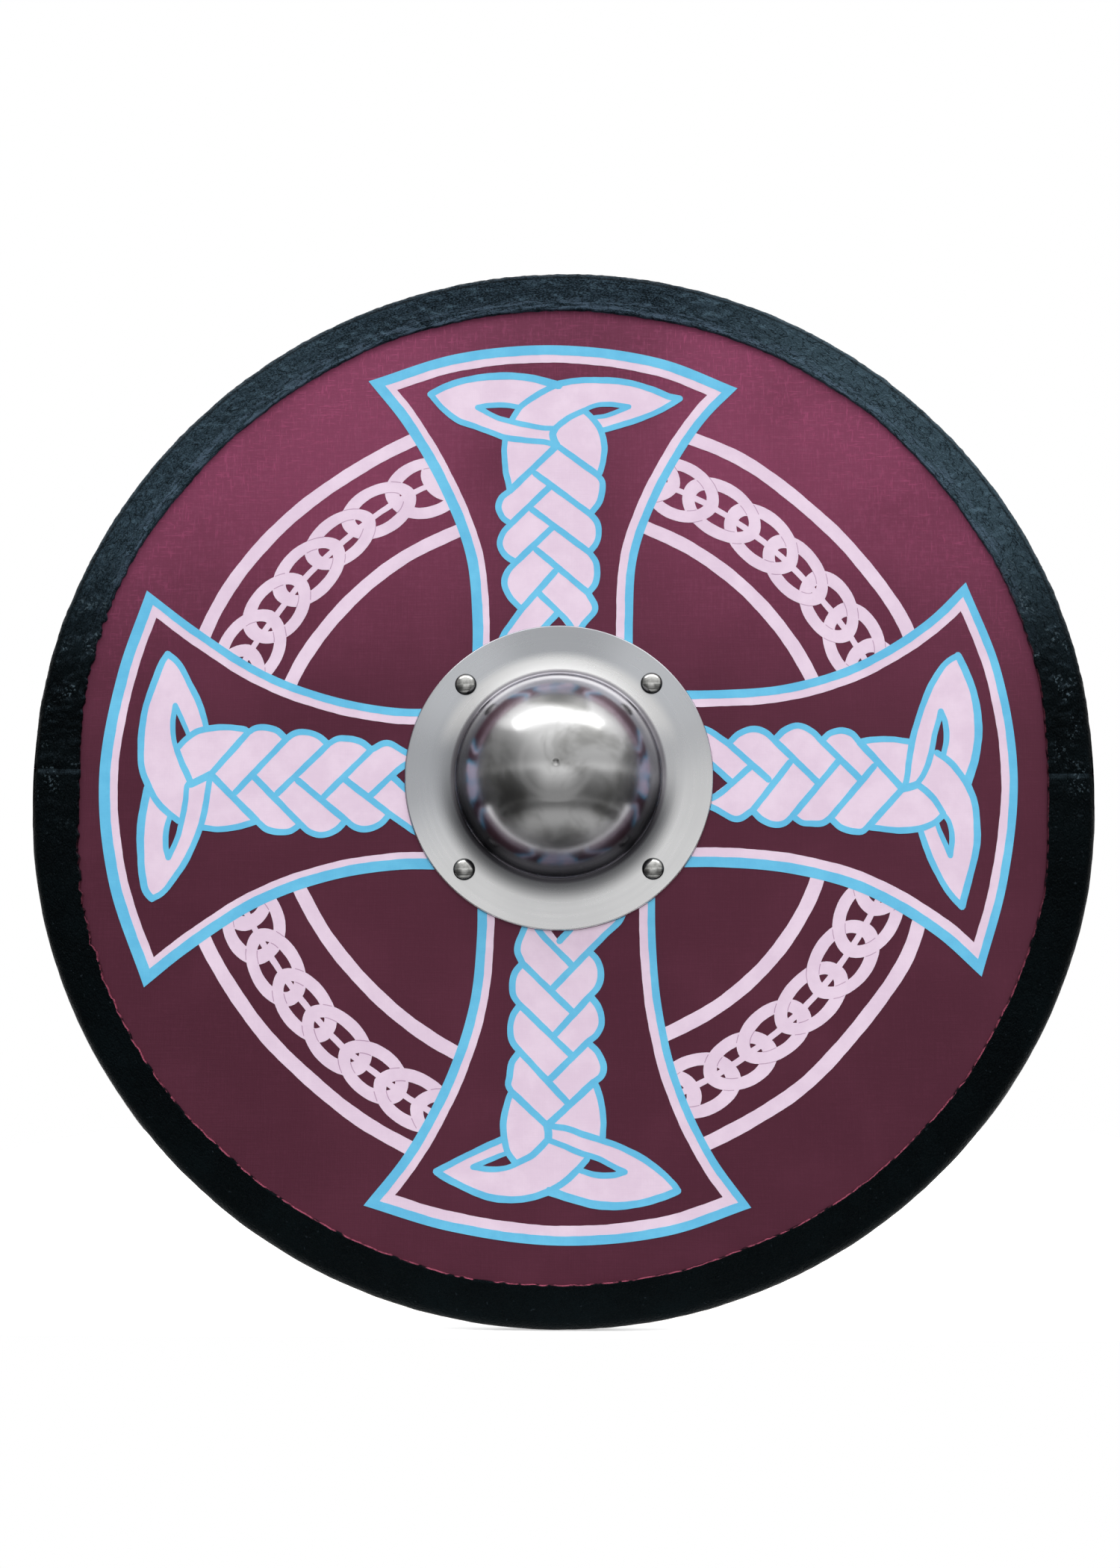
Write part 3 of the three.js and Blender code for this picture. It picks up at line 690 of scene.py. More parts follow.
def slab(name, where, triangles, low, high, material, node=None, turn=None):
    """A flat piece of canvas or paint made of those triangles, with walls round it."""
    used = np.unique(triangles)
    place_of = {int(v): i for i, v in enumerate(used)}
    flat = [tuple(where[v]) for v in used]
    if turn:
        flat = [turn(p) for p in flat]
    count = len(flat)
    faces, edges = [], []
    for triangle in triangles:
        a, b, c = (place_of[int(v)] for v in triangle)
        (ax, ay), (bx, by), (cx, cy) = flat[a], flat[b], flat[c]
        if (bx - ax) * (cy - ay) - (by - ay) * (cx - ax) < 0:
            b, c = c, b
        faces += [(a, b, c), (a + count, c + count, b + count)]
        edges += [(a, b), (b, c), (c, a)]
    known = set(edges)
    faces += [(q, p, p + count, q + count) for p, q in edges if (q, p) not in known]
    points = [(x, y, high) for x, y in flat] + [(x, y, low) for x, y in flat]
    return new_piece(name, points, faces, material, node=node)


def circle(radius, steps, centre=(0, 0)):
    turns = [2 * math.pi * i / steps for i in range(steps)]
    return [(centre[0] + radius * math.cos(turn), centre[1] + radius * math.sin(turn)) for turn in turns]


def bolt_places():
    return [polar(45 + 90 * i, BOLT_CIRCLE / 2) for i in range(4)]


def make_canvas(material):
    regions = [("cloth", [circle(OVERALL / 2 - LEATHER - FIT_GAP, 180)], [])]
    holes = [circle(HAND_HOLE / 2, 96)]
    holes += [circle(BOLT * math.sqrt(2) / 2 + FIT_GAP, 16, centre) for centre in bolt_places()]
    where, triangles, words = cut_plane([*regions, ("bare", holes, [])])
    slab("canvas_cloth", where, triangles[words == "cloth"], FACE_FRONT - CANVAS, FACE_FRONT, material,
         node="canvas_facing")


def make_paint(materials):
    boss = ("bare", [circle(BOSS / 2 + 0.25, 180)], [])
    arms = ("bare", [[TURNS[name](p) for p in arm_outline(name)] for name in BORDERS], [])
    drawn = [(name, ("pink", "blue"), [*arm_regions(name), boss]) for name in BORDERS]
    drawn += [(name, ("pink", "line"), [*quarter_regions(name), arms]) for name in QUARTERS]
    for name, colours, regions in drawn:
        where, triangles, words = cut_plane(regions)
        for word in colours:
            slab(f"paint_{name}_{word}", where, triangles[words == word], FACE_FRONT + PAINT_GAP,
                 PAINT_FRONT[word], materials[word], turn=TURNS.get(name))


# Rim leather: two strips folded over the edge

def hand_cut(angle):
    return RIM_WOBBLE * sum(share * math.sin(count * angle + start) for share, count, start in RIM_WAVES)


def rim_roughness(angle):
    """How wrinkled the leather is at an angle: most over the upper half, least below."""
    return 0.22 + 0.78 * smooth_step((math.sin(angle) + 0.15) / 0.5)


def rim_section(angle):
    """The section as (radius, out, how far it may wrinkle), outside first."""
    edge = OVERALL / 2 - SEAM_DIP * math.exp(-((math.sin(angle) / DIP_SPREAD) ** 2))
    torn = max(math.exp(-((math.degrees(angle) % 360 - at) / TORN_SPREAD) ** 2) for at in TORN_AT) + 0.12
    ragged = rough_noise(math.cos(angle) * 52, math.sin(angle) * 52, 3, 4) * (EDGE_RAGGED + EDGE_TORN * torn)
    overlap = SEAM_OVERLAP * math.exp(-((math.sin(angle) / OVERLAP_SPREAD) ** 2))
    face_edge = OVERALL / 2 - RIM_FACE + hand_cut(angle) + ragged - overlap
    back_edge = OVERALL / 2 - RIM_BACK + hand_cut(angle + math.pi) + ragged
    front, back, wall = FACE_FRONT + LEATHER, -LEATHER, OVERALL / 2 - LEATHER
    front_lip = arc((face_edge + RIM_EDGE, front - RIM_EDGE), RIM_EDGE, 180, 90, 4)
    front_fold = arc((edge - RIM_ROUND, front - RIM_ROUND), RIM_ROUND, 90, 0, 8)
    back_fold = arc((edge - RIM_ROUND, back + RIM_ROUND), RIM_ROUND, 0, -90, 8)
    back_lip = arc((back_edge + RIM_EDGE, back + RIM_EDGE), RIM_EDGE, 270, 180, 4)
    free = between(front_lip[-1], front_fold[0], 16) + front_fold
    free += between(front_fold[-1], back_fold[0], 4) + back_fold
    free += between(back_fold[-1], back_lip[0], 12)
    section = [(face_edge, FACE_FRONT, 0), (face_edge, FACE_FRONT + 0.8, 0.4)]
    section += [(*point, 0.6) for point in front_lip]
    section += [(*point, 1) for point in free]
    section += [(*point, 0.6) for point in back_lip]
    return section + [(back_edge, 0, 0), (wall, 0, 0), (wall, FACE_FRONT, 0)]


def wrinkle(x, y, h, rough):
    """How far the leather stands out at a place, in mm."""
    broad = rough_noise(x / 17, y / 17, h / 11 + 7, 2)
    folds = rough_noise(x / 4.2, y / 4.2, h / 3.6, 3)
    crease = 1 - abs(rough_noise(x / 9 + 31, y / 9, h / 9, 2)) * 2
    grain = rough_noise(x / 1.5, y / 1.5, h / 1.5, 2)
    return min(0.4, 0.18 * broad + rough * (0.30 * folds + 0.16 * max(0, crease) + 0.10 * grain)) - 0.15


def rim_half(name, start, stop, node, material, steps=860):
    """The leather from start down to stop, in degrees, clockwise. Its ends are pressed down a little."""
    points = []
    seam = math.degrees(SEAM_GAP / OVERALL)
    for i in range(steps + 1):
        angle = math.radians(start - seam - (start - stop - 2 * seam) * i / steps)
        section = rim_section(angle)
        rough = rim_roughness(angle)
        pressed = SEAM_PRESS * (1 - smooth_step(min(i, steps - i) / 3))
        for j, (r, h, give) in enumerate(section):
            if give:
                (r0, h0, _), (r1, h1, _) = section[j - 1], section[j + 1]
                length = math.hypot(r1 - r0, h1 - h0) or 1
                move = give * wrinkle(r * math.cos(angle), r * math.sin(angle), h, rough) - pressed
                r, h = min(r - (h1 - h0) / length * move, OVERALL / 2), h + (r1 - r0) / length * move
            points.append((r * math.cos(angle), r * math.sin(angle), h))
    faces = tube_faces(steps + 1, len(section))
    return new_piece(name, points, faces, material, smooth=50, node=node)


# Boss, bolts, washers and nuts

def touching(centre, radius, other, reach):
    """The lower outer point at one distance from each of two centres, for a circle that touches both."""
    dx, dy = other[0] - centre[0], other[1] - centre[1]
    apart = math.hypot(dx, dy)
    along = (radius ** 2 - reach ** 2 + apart ** 2) / (2 * apart)
    aside = math.sqrt(radius ** 2 - along ** 2)
    return centre[0] + (dx * along + dy * aside) / apart, centre[1] + (dy * along - dx * aside) / apart


def make_boss(material):
    """The spun bowl in one shell: a ball-shaped dome, a tight foot, and a flange that rises softly to it."""
    top = FACE_FRONT + BOSS_HEIGHT
    rise = top - FLANGE_FRONT
    ball = (rise ** 2 + (DOME / 2) ** 2) / (2 * rise)
    middle = (0, top - ball)
    soft = (SOFT_FROM, FLANGE_FRONT + SOFT_RADIUS)
    foot = touching(middle, ball + FOOT_RADIUS, soft, SOFT_RADIUS - FOOT_RADIUS)
    touch = math.degrees(math.atan2(foot[1] - middle[1], foot[0]))
    bend = math.degrees(math.atan2(foot[1] - soft[1], foot[0] - soft[0])) % 360
    flange, mark = BOSS / 2 - FLANGE_ROUND, MARK / 2
    mark_angle = math.degrees(math.acos(mark / ball))
    mark_top = middle[1] + ball * math.sin(math.radians(mark_angle))
    profile = [(BOSS / 2, FACE_FRONT), (BOSS / 2, FACE_FRONT + 0.4)]
    profile += arc((flange, FLANGE_FRONT - FLANGE_ROUND), FLANGE_ROUND, 0, 90, 8)
    profile += between((flange, FLANGE_FRONT), (SOFT_FROM, FLANGE_FRONT), 6)
    profile += arc(soft, SOFT_RADIUS, 270, bend, 14)
    profile += arc(foot, FOOT_RADIUS, bend, 180 + touch, 14)[1:]
    profile += arc(middle, ball, touch, mark_angle, 96)[1:]
    shares = (0.95, 0.85, 0.7, 0.5, 0.3, 0.15)
    profile += [(mark * t, mark_top - MARK_DEPTH * smooth_step(1 - t)) for t in shares]
    profile = [(r, h - PAD_DEPTH * smooth_step((PAD / 2 + PAD_EDGE - r) / PAD_EDGE)) for r, h in profile]
    profile += [(0, mark_top - MARK_DEPTH - PAD_DEPTH), (0, top - BOSS_WALL)]
    profile += arc(middle, ball - BOSS_WALL, 90, touch, 64)[1:]
    profile += arc(foot, FOOT_RADIUS + BOSS_WALL, 180 + touch, bend, 14)[1:]
    profile += arc(soft, SOFT_RADIUS + BOSS_WALL, bend, 270, 14)[1:]
    points, faces = lathe(profile + [profile[0]], 288)
    return new_piece("boss_bowl", points, faces, material, smooth=40, node="boss_shell")


def thread(h, angle, pitch, depth):
    """How deep a screw thread is cut at a height and angle."""
    return depth * abs(((h / pitch + angle / (2 * math.pi)) % 1) - 0.5) * 2


def make_bolt(i, centre, material):
    radius, head, under = BOLT / 2, BOLT_HEAD / 2, FLANGE_FRONT + 0.02
    end = NUT_BACK - BOLT_TAIL

    def threaded(r, h, angle):
        cut = thread(h, angle, BOLT_PITCH, BOLT_THREAD) if r == radius and h < NUT_BACK else 0
        return r - cut, h
    profile = [(0, end), (radius - 0.7, end), (radius - 0.1, end + 0.7)]
    profile += [(radius, end + 0.75 + 0.1 * k) for k in range(20)]
    profile += [(radius, 0.5), (radius, under), (head - 0.4, under)]
    profile += arc((0, FLANGE_FRONT + 0.25), head, -4, 90, 20, BOLT_HEAD_HEIGHT - 0.25)[:-1]
    profile.append((0, FLANGE_FRONT + BOLT_HEAD_HEIGHT))
    points, faces = lathe(profile, 48, centre, threaded)
    return new_piece(f"bolt_{i}", points, faces, material, smooth=35, node=f"boss_bolt_{i}")


def make_washer(i, centre, material, bevel=0.25):
    outer, bore, back = WASHER / 2, BOLT / 2 + FIT_GAP, -WASHER_THICK
    profile = [(bore, back + bevel), (bore + bevel, back), (outer - bevel, back), (outer, back + bevel),
               (outer, -0.1), (outer - 0.1, 0), (bore, 0)]
    points, faces = lathe(profile + [profile[0]], 64, centre)
    return new_piece(f"washer_{i}", points, faces, material, smooth=30, node=f"boss_washer_{i}")


def make_nut(i, centre, material):
    """A nut with a chamfer behind, turned a little further than the one before it."""
    corners, bore, front = NUT_FLATS / math.sqrt(3), BOLT / 2 + FIT_GAP, -WASHER_THICK
    inner, outer = 3.4, 4.4

    def hexagon(r, h, angle):
        if r < outer:
            return r, h
        side = (math.degrees(angle) + 11 * i) % 60 - 30
        flat = NUT_FLATS / 2 / math.cos(math.radians(side))
        return min(flat, corners - 0.65 + 1.1 * (h - NUT_BACK)), h
    profile = [(bore, front), (bore, NUT_BACK + 0.3), (bore + 0.35, NUT_BACK), (inner, NUT_BACK)]
    profile += [(outer, NUT_BACK + 0.62 * k / 8) for k in range(9)] + [(outer, front), (bore, front)]
    points, faces = lathe(profile, 96, centre, hexagon)
    return new_piece(f"nut_{i}", points, faces, material, smooth=25, node=f"boss_nut_{i}")


# Grip bar and its screws

def grip_section(distance, around=12):
    """The bar's section at a distance from its middle, as (across, out) points."""
    shoulder = smooth_step((distance - GRIP_WAIST / 2) / GRIP_SHOULDER)
    swell = GRIP_SWELL * (1 - smooth_step(distance / (GRIP_WAIST / 2)))
    tip = max(0, (distance - GRIP / 2 + GRIP_TIP) / GRIP_TIP)
    drawn_in = (GRIP_END[0] - GRIP_TIP_WIDTH) / 2 * (1 - math.sqrt(max(0, 1 - tip * tip)))
    width, thick, corner = (m + (e - m) * shoulder for m, e in zip(GRIP_MIDDLE, GRIP_END))
    side, deep = width / 2 - drawn_in - corner, corner - thick - swell
    points = []
    for sign, out, start in ((1, -corner, 0), (-1, -corner, 90), (-1, deep, 180), (1, deep, 270)):
        points += arc((sign * side, out), corner, start, start + 90, around)
    return points


def drill(piece, profile, centre):
    """Cut a turned hole out of a piece."""
    cutter = new_object("cutter", new_mesh("cutter", *lathe(profile, 40, centre)))
    modifier = piece.modifiers.new("hole", "BOOLEAN")
    modifier.object, modifier.operation, modifier.solver = cutter, "DIFFERENCE", "EXACT"
    bpy.context.view_layer.update()
    made = bpy.data.meshes.new_from_object(piece.evaluated_get(bpy.context.evaluated_depsgraph_get()))
    piece.modifiers.clear()
    piece.data = made
    bpy.data.objects.remove(cutter)


def make_grip(material):
    """The bar, a little worn, with sections that stand closer towards its rounded ends."""
    stations = [GRIP / 2 * k / 53.6 for k in range(-52, 53)]
    rounded = [GRIP / 2 * math.sin(math.pi / 2 * k / 60) for k in range(53, 61)]
    points = []
    for x in [-x for x in rounded[::-1]] + stations + rounded:
        section = grip_section(abs(x))
        for across, out in section:
            wear_and_sheen = 0.1 * rough_noise(x / 24, across / 9, out / 9, 2) if out < -1 else 0
            points.append((x, across * (1 - wear_and_sheen / 18), out * (1 + wear_and_sheen / 24)))
    faces = tube_faces(len(points) // len(section), len(section))
    bar = new_piece("grip_handle", points, faces, material, smooth=35, node="grip_bar")
    head, radius, back = SCREW_HEAD / 2 + 0.25, SCREW / 2 + FIT_GAP, -GRIP_END[1]
    hole = [(0, back - 3), (head + 0.25, back - 3), (head, back), (radius, back + head - radius),
            (radius, 3), (0, 3)]
    for x in SCREW_PLACES:
        drill(bar, hole, (x, 0))
    return bar


def make_screw(i, x, material, steps=64):
    """A countersunk wood screw with a cross recess in its head."""
    head, radius, back = SCREW_HEAD / 2, SCREW / 2, -GRIP_END[1]
    face = back + 0.1

    def shape(r, h, angle):
        if h == face:
            turn = angle + 0.5 * i
            across = min(abs(r * math.cos(turn)), abs(r * math.sin(turn)))
            deep = smooth_step((RECESS_ARM - across) / 0.22) * smooth_step((RECESS_REACH - r) / 0.5)
            return r, h + RECESS_DEPTH * deep + 0.12 * (r / head) ** 2
        return r - (thread(h, angle, SCREW_PITCH, SCREW_THREAD) if h > 0 and r > 1 else 0), h
    profile = [(0.3 * k, face) for k in range(10)] + [(3.1, face), (3.6, face), (head - 0.12, face)]
    profile += [(head, back + 0.3), (radius, back + 0.3 + head - radius)]
    profile += [(radius, h) for h in np.arange(back + 3.2, 4.0, 0.35)]
    profile += [(radius * (1 - 0.9 * t), 4.0 + (SCREW_BITE - 4.0) * t) for t in (0.25, 0.5, 0.75, 1)]
    points, faces = lathe(profile, steps, (x, 0), shape)
    faces.append(tuple(range(len(points) - steps, len(points))))
    return new_piece(f"screw_{i}", points, faces, material, smooth=30, node=f"grip_screw_{i}")


# Materials

class Term:
    """The output of a node, to reckon with."""

    def __init__(self, nodes, socket):
        self.nodes, self.socket = nodes, socket

    def __add__(self, other):
        return self.nodes.math("ADD", self, other)

    def __sub__(self, other):
        return self.nodes.math("SUBTRACT", self, other)

    def __mul__(self, other):
        return self.nodes.math("MULTIPLY", self, other)

    def __abs__(self):
        return self.nodes.math("ABSOLUTE", self)

    def ramp(self, low, high, to_low=0.0, to_high=1.0):
        """A soft step from one value to another."""
        return self.nodes.term("ShaderNodeMapRange", self, low, high, to_low, to_high,
                               settings={"interpolation_type": "SMOOTHSTEP"})

    def cover(self, colour, share):
        """This colour under a share of another."""
        return self.nodes.mix(share, self, colour)


class Nodes:
    """A node tree, with helpers to keep its making short."""

    def __init__(self, tree):
        self.tree = tree

    def fill(self, node, *values, **named):
        """Set or link a node's inputs, in their order or by name."""
        for key, value in (*enumerate(values), *named.items()):
            socket = node.inputs[key.replace("_", " ") if isinstance(key, str) else key]
            if isinstance(value, Term):
                self.tree.links.new(value.socket, socket)
            else:
                socket.default_value = value

    def node(self, kind, *values, settings=None, **named):
        made = self.tree.nodes.new(kind)
        for key, value in (settings or {}).items():
            setattr(made, key, value)
        self.fill(made, *values, **named)
        return made

    def term(self, kind, *values, output=0, **more):
        return Term(self, self.node(kind, *values, **more).outputs[output])

    def split(self, vector):
        return [Term(self, socket) for socket in self.node("ShaderNodeSeparateXYZ", vector).outputs]

    def math(self, operation, a, b=0.0):
        return self.term("ShaderNodeMath", a, b, settings={"operation": operation})

    def highest(self, a, b):
        return self.math("MAXIMUM", a, b)

    def distance(self, a, b):
        return self.math("SQRT", a * a + b * b)

    def mix(self, share, first, second, blend="MIX"):
        return self.term("ShaderNodeMixRGB", share, first, second, settings={"blend_type": blend})

    def seen_by(self, *kinds):
        """1 for rays of any of those kinds, or else 0."""
        rays = self.node("ShaderNodeLightPath").outputs
        seen = Term(self, rays[kinds[0]])
        for kind in kinds[1:]:
            seen = self.highest(seen, Term(self, rays[kind]))
        return seen

    def noise_at(self, where, detail, rough=0.5, bend=0.0):
        return self.term("ShaderNodeTexNoise", Vector=where, Scale=1.0, Detail=detail, Roughness=rough,
                         Distortion=bend)


class Surface(Nodes):
    """A material whose shader is fed by nodes."""

    def __init__(self, name, colour, rough, metal=0.0, **constants):
        self.material = bpy.data.materials.new(name)
        self.material.use_nodes = True
        super().__init__(self.material.node_tree)
        self.shader = self.tree.nodes["Principled BSDF"]
        self.fill(self.shader, Base_Color=colour, Roughness=rough, Metallic=metal, **constants)
        self.place = self.term("ShaderNodeTexCoord", output="Object")

    def stretched(self, scale):
        """The place on the object, times a scale in each direction or in all."""
        scale = scale if isinstance(scale, tuple) else (scale, scale, scale)
        return self.term("ShaderNodeMapping", Vector=self.place, Scale=scale)

    def noise(self, scale, detail=3.0, rough=0.5, bend=0.0):
        return self.noise_at(self.stretched(scale), detail, rough, bend)

    def normal(self):
        return self.term("ShaderNodeNewGeometry", output="Normal")

    def dress(self, base, rough, *bumps, **more):
        """Link colour, roughness and bumps, each of (height, strength, distance), to the shader."""
        lower = {}
        for height, strength, distance in bumps:
            lower["Normal"] = self.term("ShaderNodeBump", Height=height, Strength=strength, Distance=distance,
                                        **lower)
        self.fill(self.shader, Base_Color=base, Roughness=rough, **lower, **more)
        return self.material


def colour(*levels):
    """A colour as it looks, from 0 to 255, made linear."""
    parts = [level / 255 for level in levels]
    return (*(c / 12.92 if c <= 0.04045 else ((c + 0.055) / 1.055) ** 2.4 for c in parts), 1)


def weave(s):
    """Height of cloth under paint: threads across and up, uneven as spun yarn is."""
    across, up = s.noise((1500, 40, 70), 2), s.noise((70, 40, 1500), 2)
    return across + up + s.noise((500, 40, 500), 1) * 0.6


def cloth_material():
    """Maroon paint on canvas, with a painted sheen, lighter and pinker, over the upper face towards its edge
    and sides.
    """
    s = Surface("maroon_paint_on_canvas", colour(88, 45, 59), 0.45, Specular_IOR_Level=0.5,
                Specular_Tint=(1.0, 0.36, 0.6, 1.0))
    x, _, z = s.split(s.place)
    height, broad, blotch = weave(s), s.noise(7), s.noise(28, 4)
    streak = s.highest(s.noise((170, 40, 1300), 2), s.noise((1300, 40, 170), 2))
    thin = height.ramp(1.25, 1.7)
    # Painted sheen: where the upper face is lit lighter, most towards its sides and the rim
    sheen = z.ramp(0.0, 0.22) * abs(x).ramp(0.02, 0.10, 0.5, 1.0)
    sheen = sheen * (broad + blotch * 0.5).ramp(0.35, 0.85, 0.6, 1.0)
    near_rim = sheen * s.distance(x, z).ramp(0.215, 0.275, 0.25, 1.0)
    base = s.mix(broad.ramp(0.35, 0.7), colour(71, 34, 46), colour(79, 39, 52))
    base = base.cover(colour(88, 45, 60), blotch.ramp(0.45, 0.75) * 0.3)
    # Painted sheen on the paint's colour, then painted sheen streaks near the rim and painted sheen on the
    # thread tops
    base = base.cover(colour(126, 60, 87), sheen)
    base = base.cover(colour(176, 82, 122), streak.ramp(0.56, 0.74) * near_rim * 0.5)
    base = base.cover(colour(140, 74, 102), thin * sheen.ramp(0.0, 1.0, 0.05, 0.4))
    rough = (broad + thin * 0.3).ramp(0.3, 1.0, 0.42, 0.58)
    return s.dress(base, rough, (height, 0.5, 0.00012), (blotch, 0.25, 0.0006))


def paint_material(name, main, light, dark):
    s = Surface(name, main, 0.5)
    height, cloud = weave(s), s.noise(55, 4, 0.6)
    base = s.mix(cloud.ramp(0.35, 0.7), dark, light)
    base = base.cover(main, s.noise((160, 40, 700), 2).ramp(0.4, 0.8) * 0.35)
    base = base.cover(dark, height.ramp(0.8, 1.05, 1.0, 0.0) * 0.18)
    rough = cloud.ramp(0.3, 0.8, 0.42, 0.6)
    return s.dress(base, rough, (height, 0.35, 0.0001), (s.noise(160, 2), 0.25, 0.0002))


def painted_leather_sheen(s, x, radius, wrinkles, streaks, crest_highlight):
    """The painted sheen over the black leather: slate grey, lighter on wrinkles, streaks and up-facing
    crests, towards the upper right and a little the upper left, and on streaks near the inner edge, darker
    along the outer fold.
    """
    side_sheen = x.ramp(0.05, 0.17) + x.ramp(-0.08, -0.17, 0.0, 0.35)
    inner = radius.ramp(0.2905, 0.2835)
    fold = radius.ramp(0.3000, 0.3008) * radius.ramp(0.3022, 0.3014)
    base = s.mix(wrinkles.ramp(0.42, 0.62), colour(17, 27, 34), colour(46, 61, 73))
    base = base.cover(colour(52, 68, 80), streaks.ramp(0.5, 0.7, 0.0, 0.5))
    # Painted highlight on crests that face up, and painted sheen towards the sides
    base = base.cover(colour(76, 98, 112), crest_highlight * 0.85)
    base = base.cover(colour(86, 110, 122), side_sheen * 0.32)
    base = base.cover(colour(84, 102, 120), inner * streaks.ramp(0.42, 0.62) * 0.6)
    return base.cover(colour(8, 12, 15), fold * 0.6)


def lit_cut_edge(s, x, y, z, radius):
    """The cut edge of the leather, maroon from the face's paint and lit pink as a painted highlight where it
    faces up: in front, below and a little at the right.
    """
    facing = s.term("ShaderNodeVectorMath", s.normal(), s.place, settings={"operation": "DOT_PRODUCT"},
                    output="Value")
    where = s.highest(z.ramp(-0.02, -0.14), x.ramp(0.24, 0.28, 0.0, 0.3)) * y.ramp(-0.004, -0.008)
    return facing.ramp(-0.08, -0.18) * radius.ramp(0.288, 0.286) * where * s.noise(160, 2).ramp(0.4, 0.55)


def leather_material():
    """Black paint on leather, wrinkled along the rim, with a painted slate-grey sheen over its upper half,
    painted highlights on its crests and painted glints.
    """
    s = Surface("black_painted_leather", colour(5, 9, 11), 0.4, Specular_IOR_Level=0.07,
                Specular_Tint=(0.6, 0.9, 1.0, 1.0))
    x, y, z = s.split(s.place)
    radius = s.distance(x, z)
    along = s.math("ARCTAN2", z, x) * (OVERALL / 2000)

    def wrinkled(across, lengthways, detail):
        where = s.term("ShaderNodeCombineXYZ", radius * across, along * lengthways, y * across)
        return s.noise_at(where, detail)
    wrinkles, streaks, cracks = wrinkled(1400, 760, 4), wrinkled(650, 70, 3), wrinkled(260, 120, 3)
    broad, patch = s.noise(45, 4), s.noise(14)
    # Painted highlight on crests that face up, as if lit from above
    lift = s.split(s.normal())[2] + wrinkles * 0.3
    crest_highlight = lift.ramp(0.14, 0.38) * radius.ramp(0.3005, 0.2985)
    # The band and clusters where painted glints lie on the rough leather
    torn = z.ramp(-0.04, 0.02) * z.ramp(0.16, 0.09, 0.12, 1.0)
    clusters = s.noise(70, 2).ramp(0.50, 0.64) * torn
    glint = s.noise(560).ramp(0.56, 0.64) * radius.ramp(0.3005, 0.2985) * clusters
    # Where the painted sheen covers the leather: its upper half, starting higher at the far sides
    wear_and_sheen = (z + patch * 0.08 - abs(x).ramp(0.2, 0.28, 0.0, 0.03)).ramp(0.05, 0.19)
    deep = abs(cracks - 0.5)
    black = s.mix(broad.ramp(0.35, 0.7), colour(1, 2, 3), colour(4, 8, 10))
    # Painted highlight on up-facing crests in the black lower part
    black = black.cover(colour(46, 58, 66), crest_highlight * z.ramp(-0.1, 0.08, 0.1, 0.8))
    base = s.mix(wear_and_sheen, black, painted_leather_sheen(s, x, radius, wrinkles, streaks, crest_highlight))
    # Painted shade in the creases, then painted glints
    base = base.cover(colour(4, 7, 9), deep.ramp(0.016, 0.006, 0.0, 0.75))
    base = base.cover(colour(96, 114, 124), glint * 0.5)
    base = base.cover(colour(44, 52, 58), s.noise(420, 2).ramp(0.70, 0.76) * 0.5)
    # The leather's cut edge: maroon paint with a painted highlight where it faces up
    base = base.cover(colour(166, 84, 106), lit_cut_edge(s, x, y, z, radius))
    rough = broad.ramp(0.3, 0.75, 0.34, 0.5)
    return s.dress(base, rough, (wrinkles, 1.0, 0.0011), (streaks, 0.5, 0.0005), (s.noise(150), 0.5, 0.0010),
                   (deep.ramp(0.0, 0.05), 0.7, 0.0006))


def boss_material():
    """Spun steel: a flange brushed in circles and a smoother, smudged dome, with painted reflections and
    shade: the flange brighter below, darker fans and a bright crescent on its upper part, a painted shadow
    under the dome, and the dome darker towards its foot.
    """
    s = Surface("spun_steel_brushed", colour(205, 206, 208), 0.28, 1.0, Anisotropic=0.4,
                Anisotropic_Rotation=0.25)
    x, y, z = s.split(s.place)
    radius, angle = s.distance(x, z), s.math("ARCTAN2", z, x)

    def turned(across, round_it):
        where = s.term("ShaderNodeCombineXYZ", radius * across, angle * round_it, y * (across * 0.4))
        return s.noise_at(where, 2)
    rings, broad = turned(1500, 1.4), turned(420, 0.8)
    on_flange = radius.ramp(0.0605, 0.0625)
    # Painted reflections on the flange: brighter below, darker fans above, a bright crescent round the top of
    # the dome, and a painted shadow under the dome
    low = (z - x * 0.3).ramp(0.035, -0.045)
    fan_reflections = (s.math("COSINE", angle * 4) + turned(0, 1.3) * 1.2).ramp(-0.4, 1.6)
    crescent_highlight = radius.ramp(0.074, 0.067) * z.ramp(0.012, 0.036)
    shade = radius.ramp(0.073, 0.0615) * z.ramp(0.015, -0.03)
    flange = s.mix(low, colour(230, 233, 238), colour(255, 255, 255))
    flange = flange.cover(colour(176, 179, 184), fan_reflections * low.ramp(0, 1, 0.65, 0.12))
    flange = flange.cover(colour(204, 206, 210), broad * 0.2)
    flange = flange.cover(colour(255, 255, 255), crescent_highlight)
    flange = flange.cover(colour(104, 106, 112), shade * 0.85)
    # Painted shade on the dome's lower foot, and the dome darker towards its foot as a painted reflection
    foot = radius.ramp(0.036, 0.056) * z.ramp(0.005, -0.035)
    dome = s.mix(s.noise(38, bend=0.6).ramp(0.42, 0.66), colour(222, 222, 222), colour(166, 166, 164))
    dome = dome.cover(colour(136, 132, 142), radius.ramp(0.034, 0.054) * 0.8)
    dome = dome.cover(colour(60, 58, 68), foot * 0.85)
    base = s.mix(on_flange, dome, flange).cover(colour(240, 240, 241), rings * 0.10)
    rough = on_flange.ramp(0, 1, 0.13, 0.22) + (broad + s.noise(60, 4)) * 0.06
    tangent = s.term("ShaderNodeTangent", settings={"direction_type": "RADIAL", "axis": "Y"})
    return s.dress(base, rough, (rings, on_flange.ramp(0, 1, 0.03, 0.06), 0.00006),
                   (s.noise(30, 2), 0.12, 0.0012), Tangent=tangent)


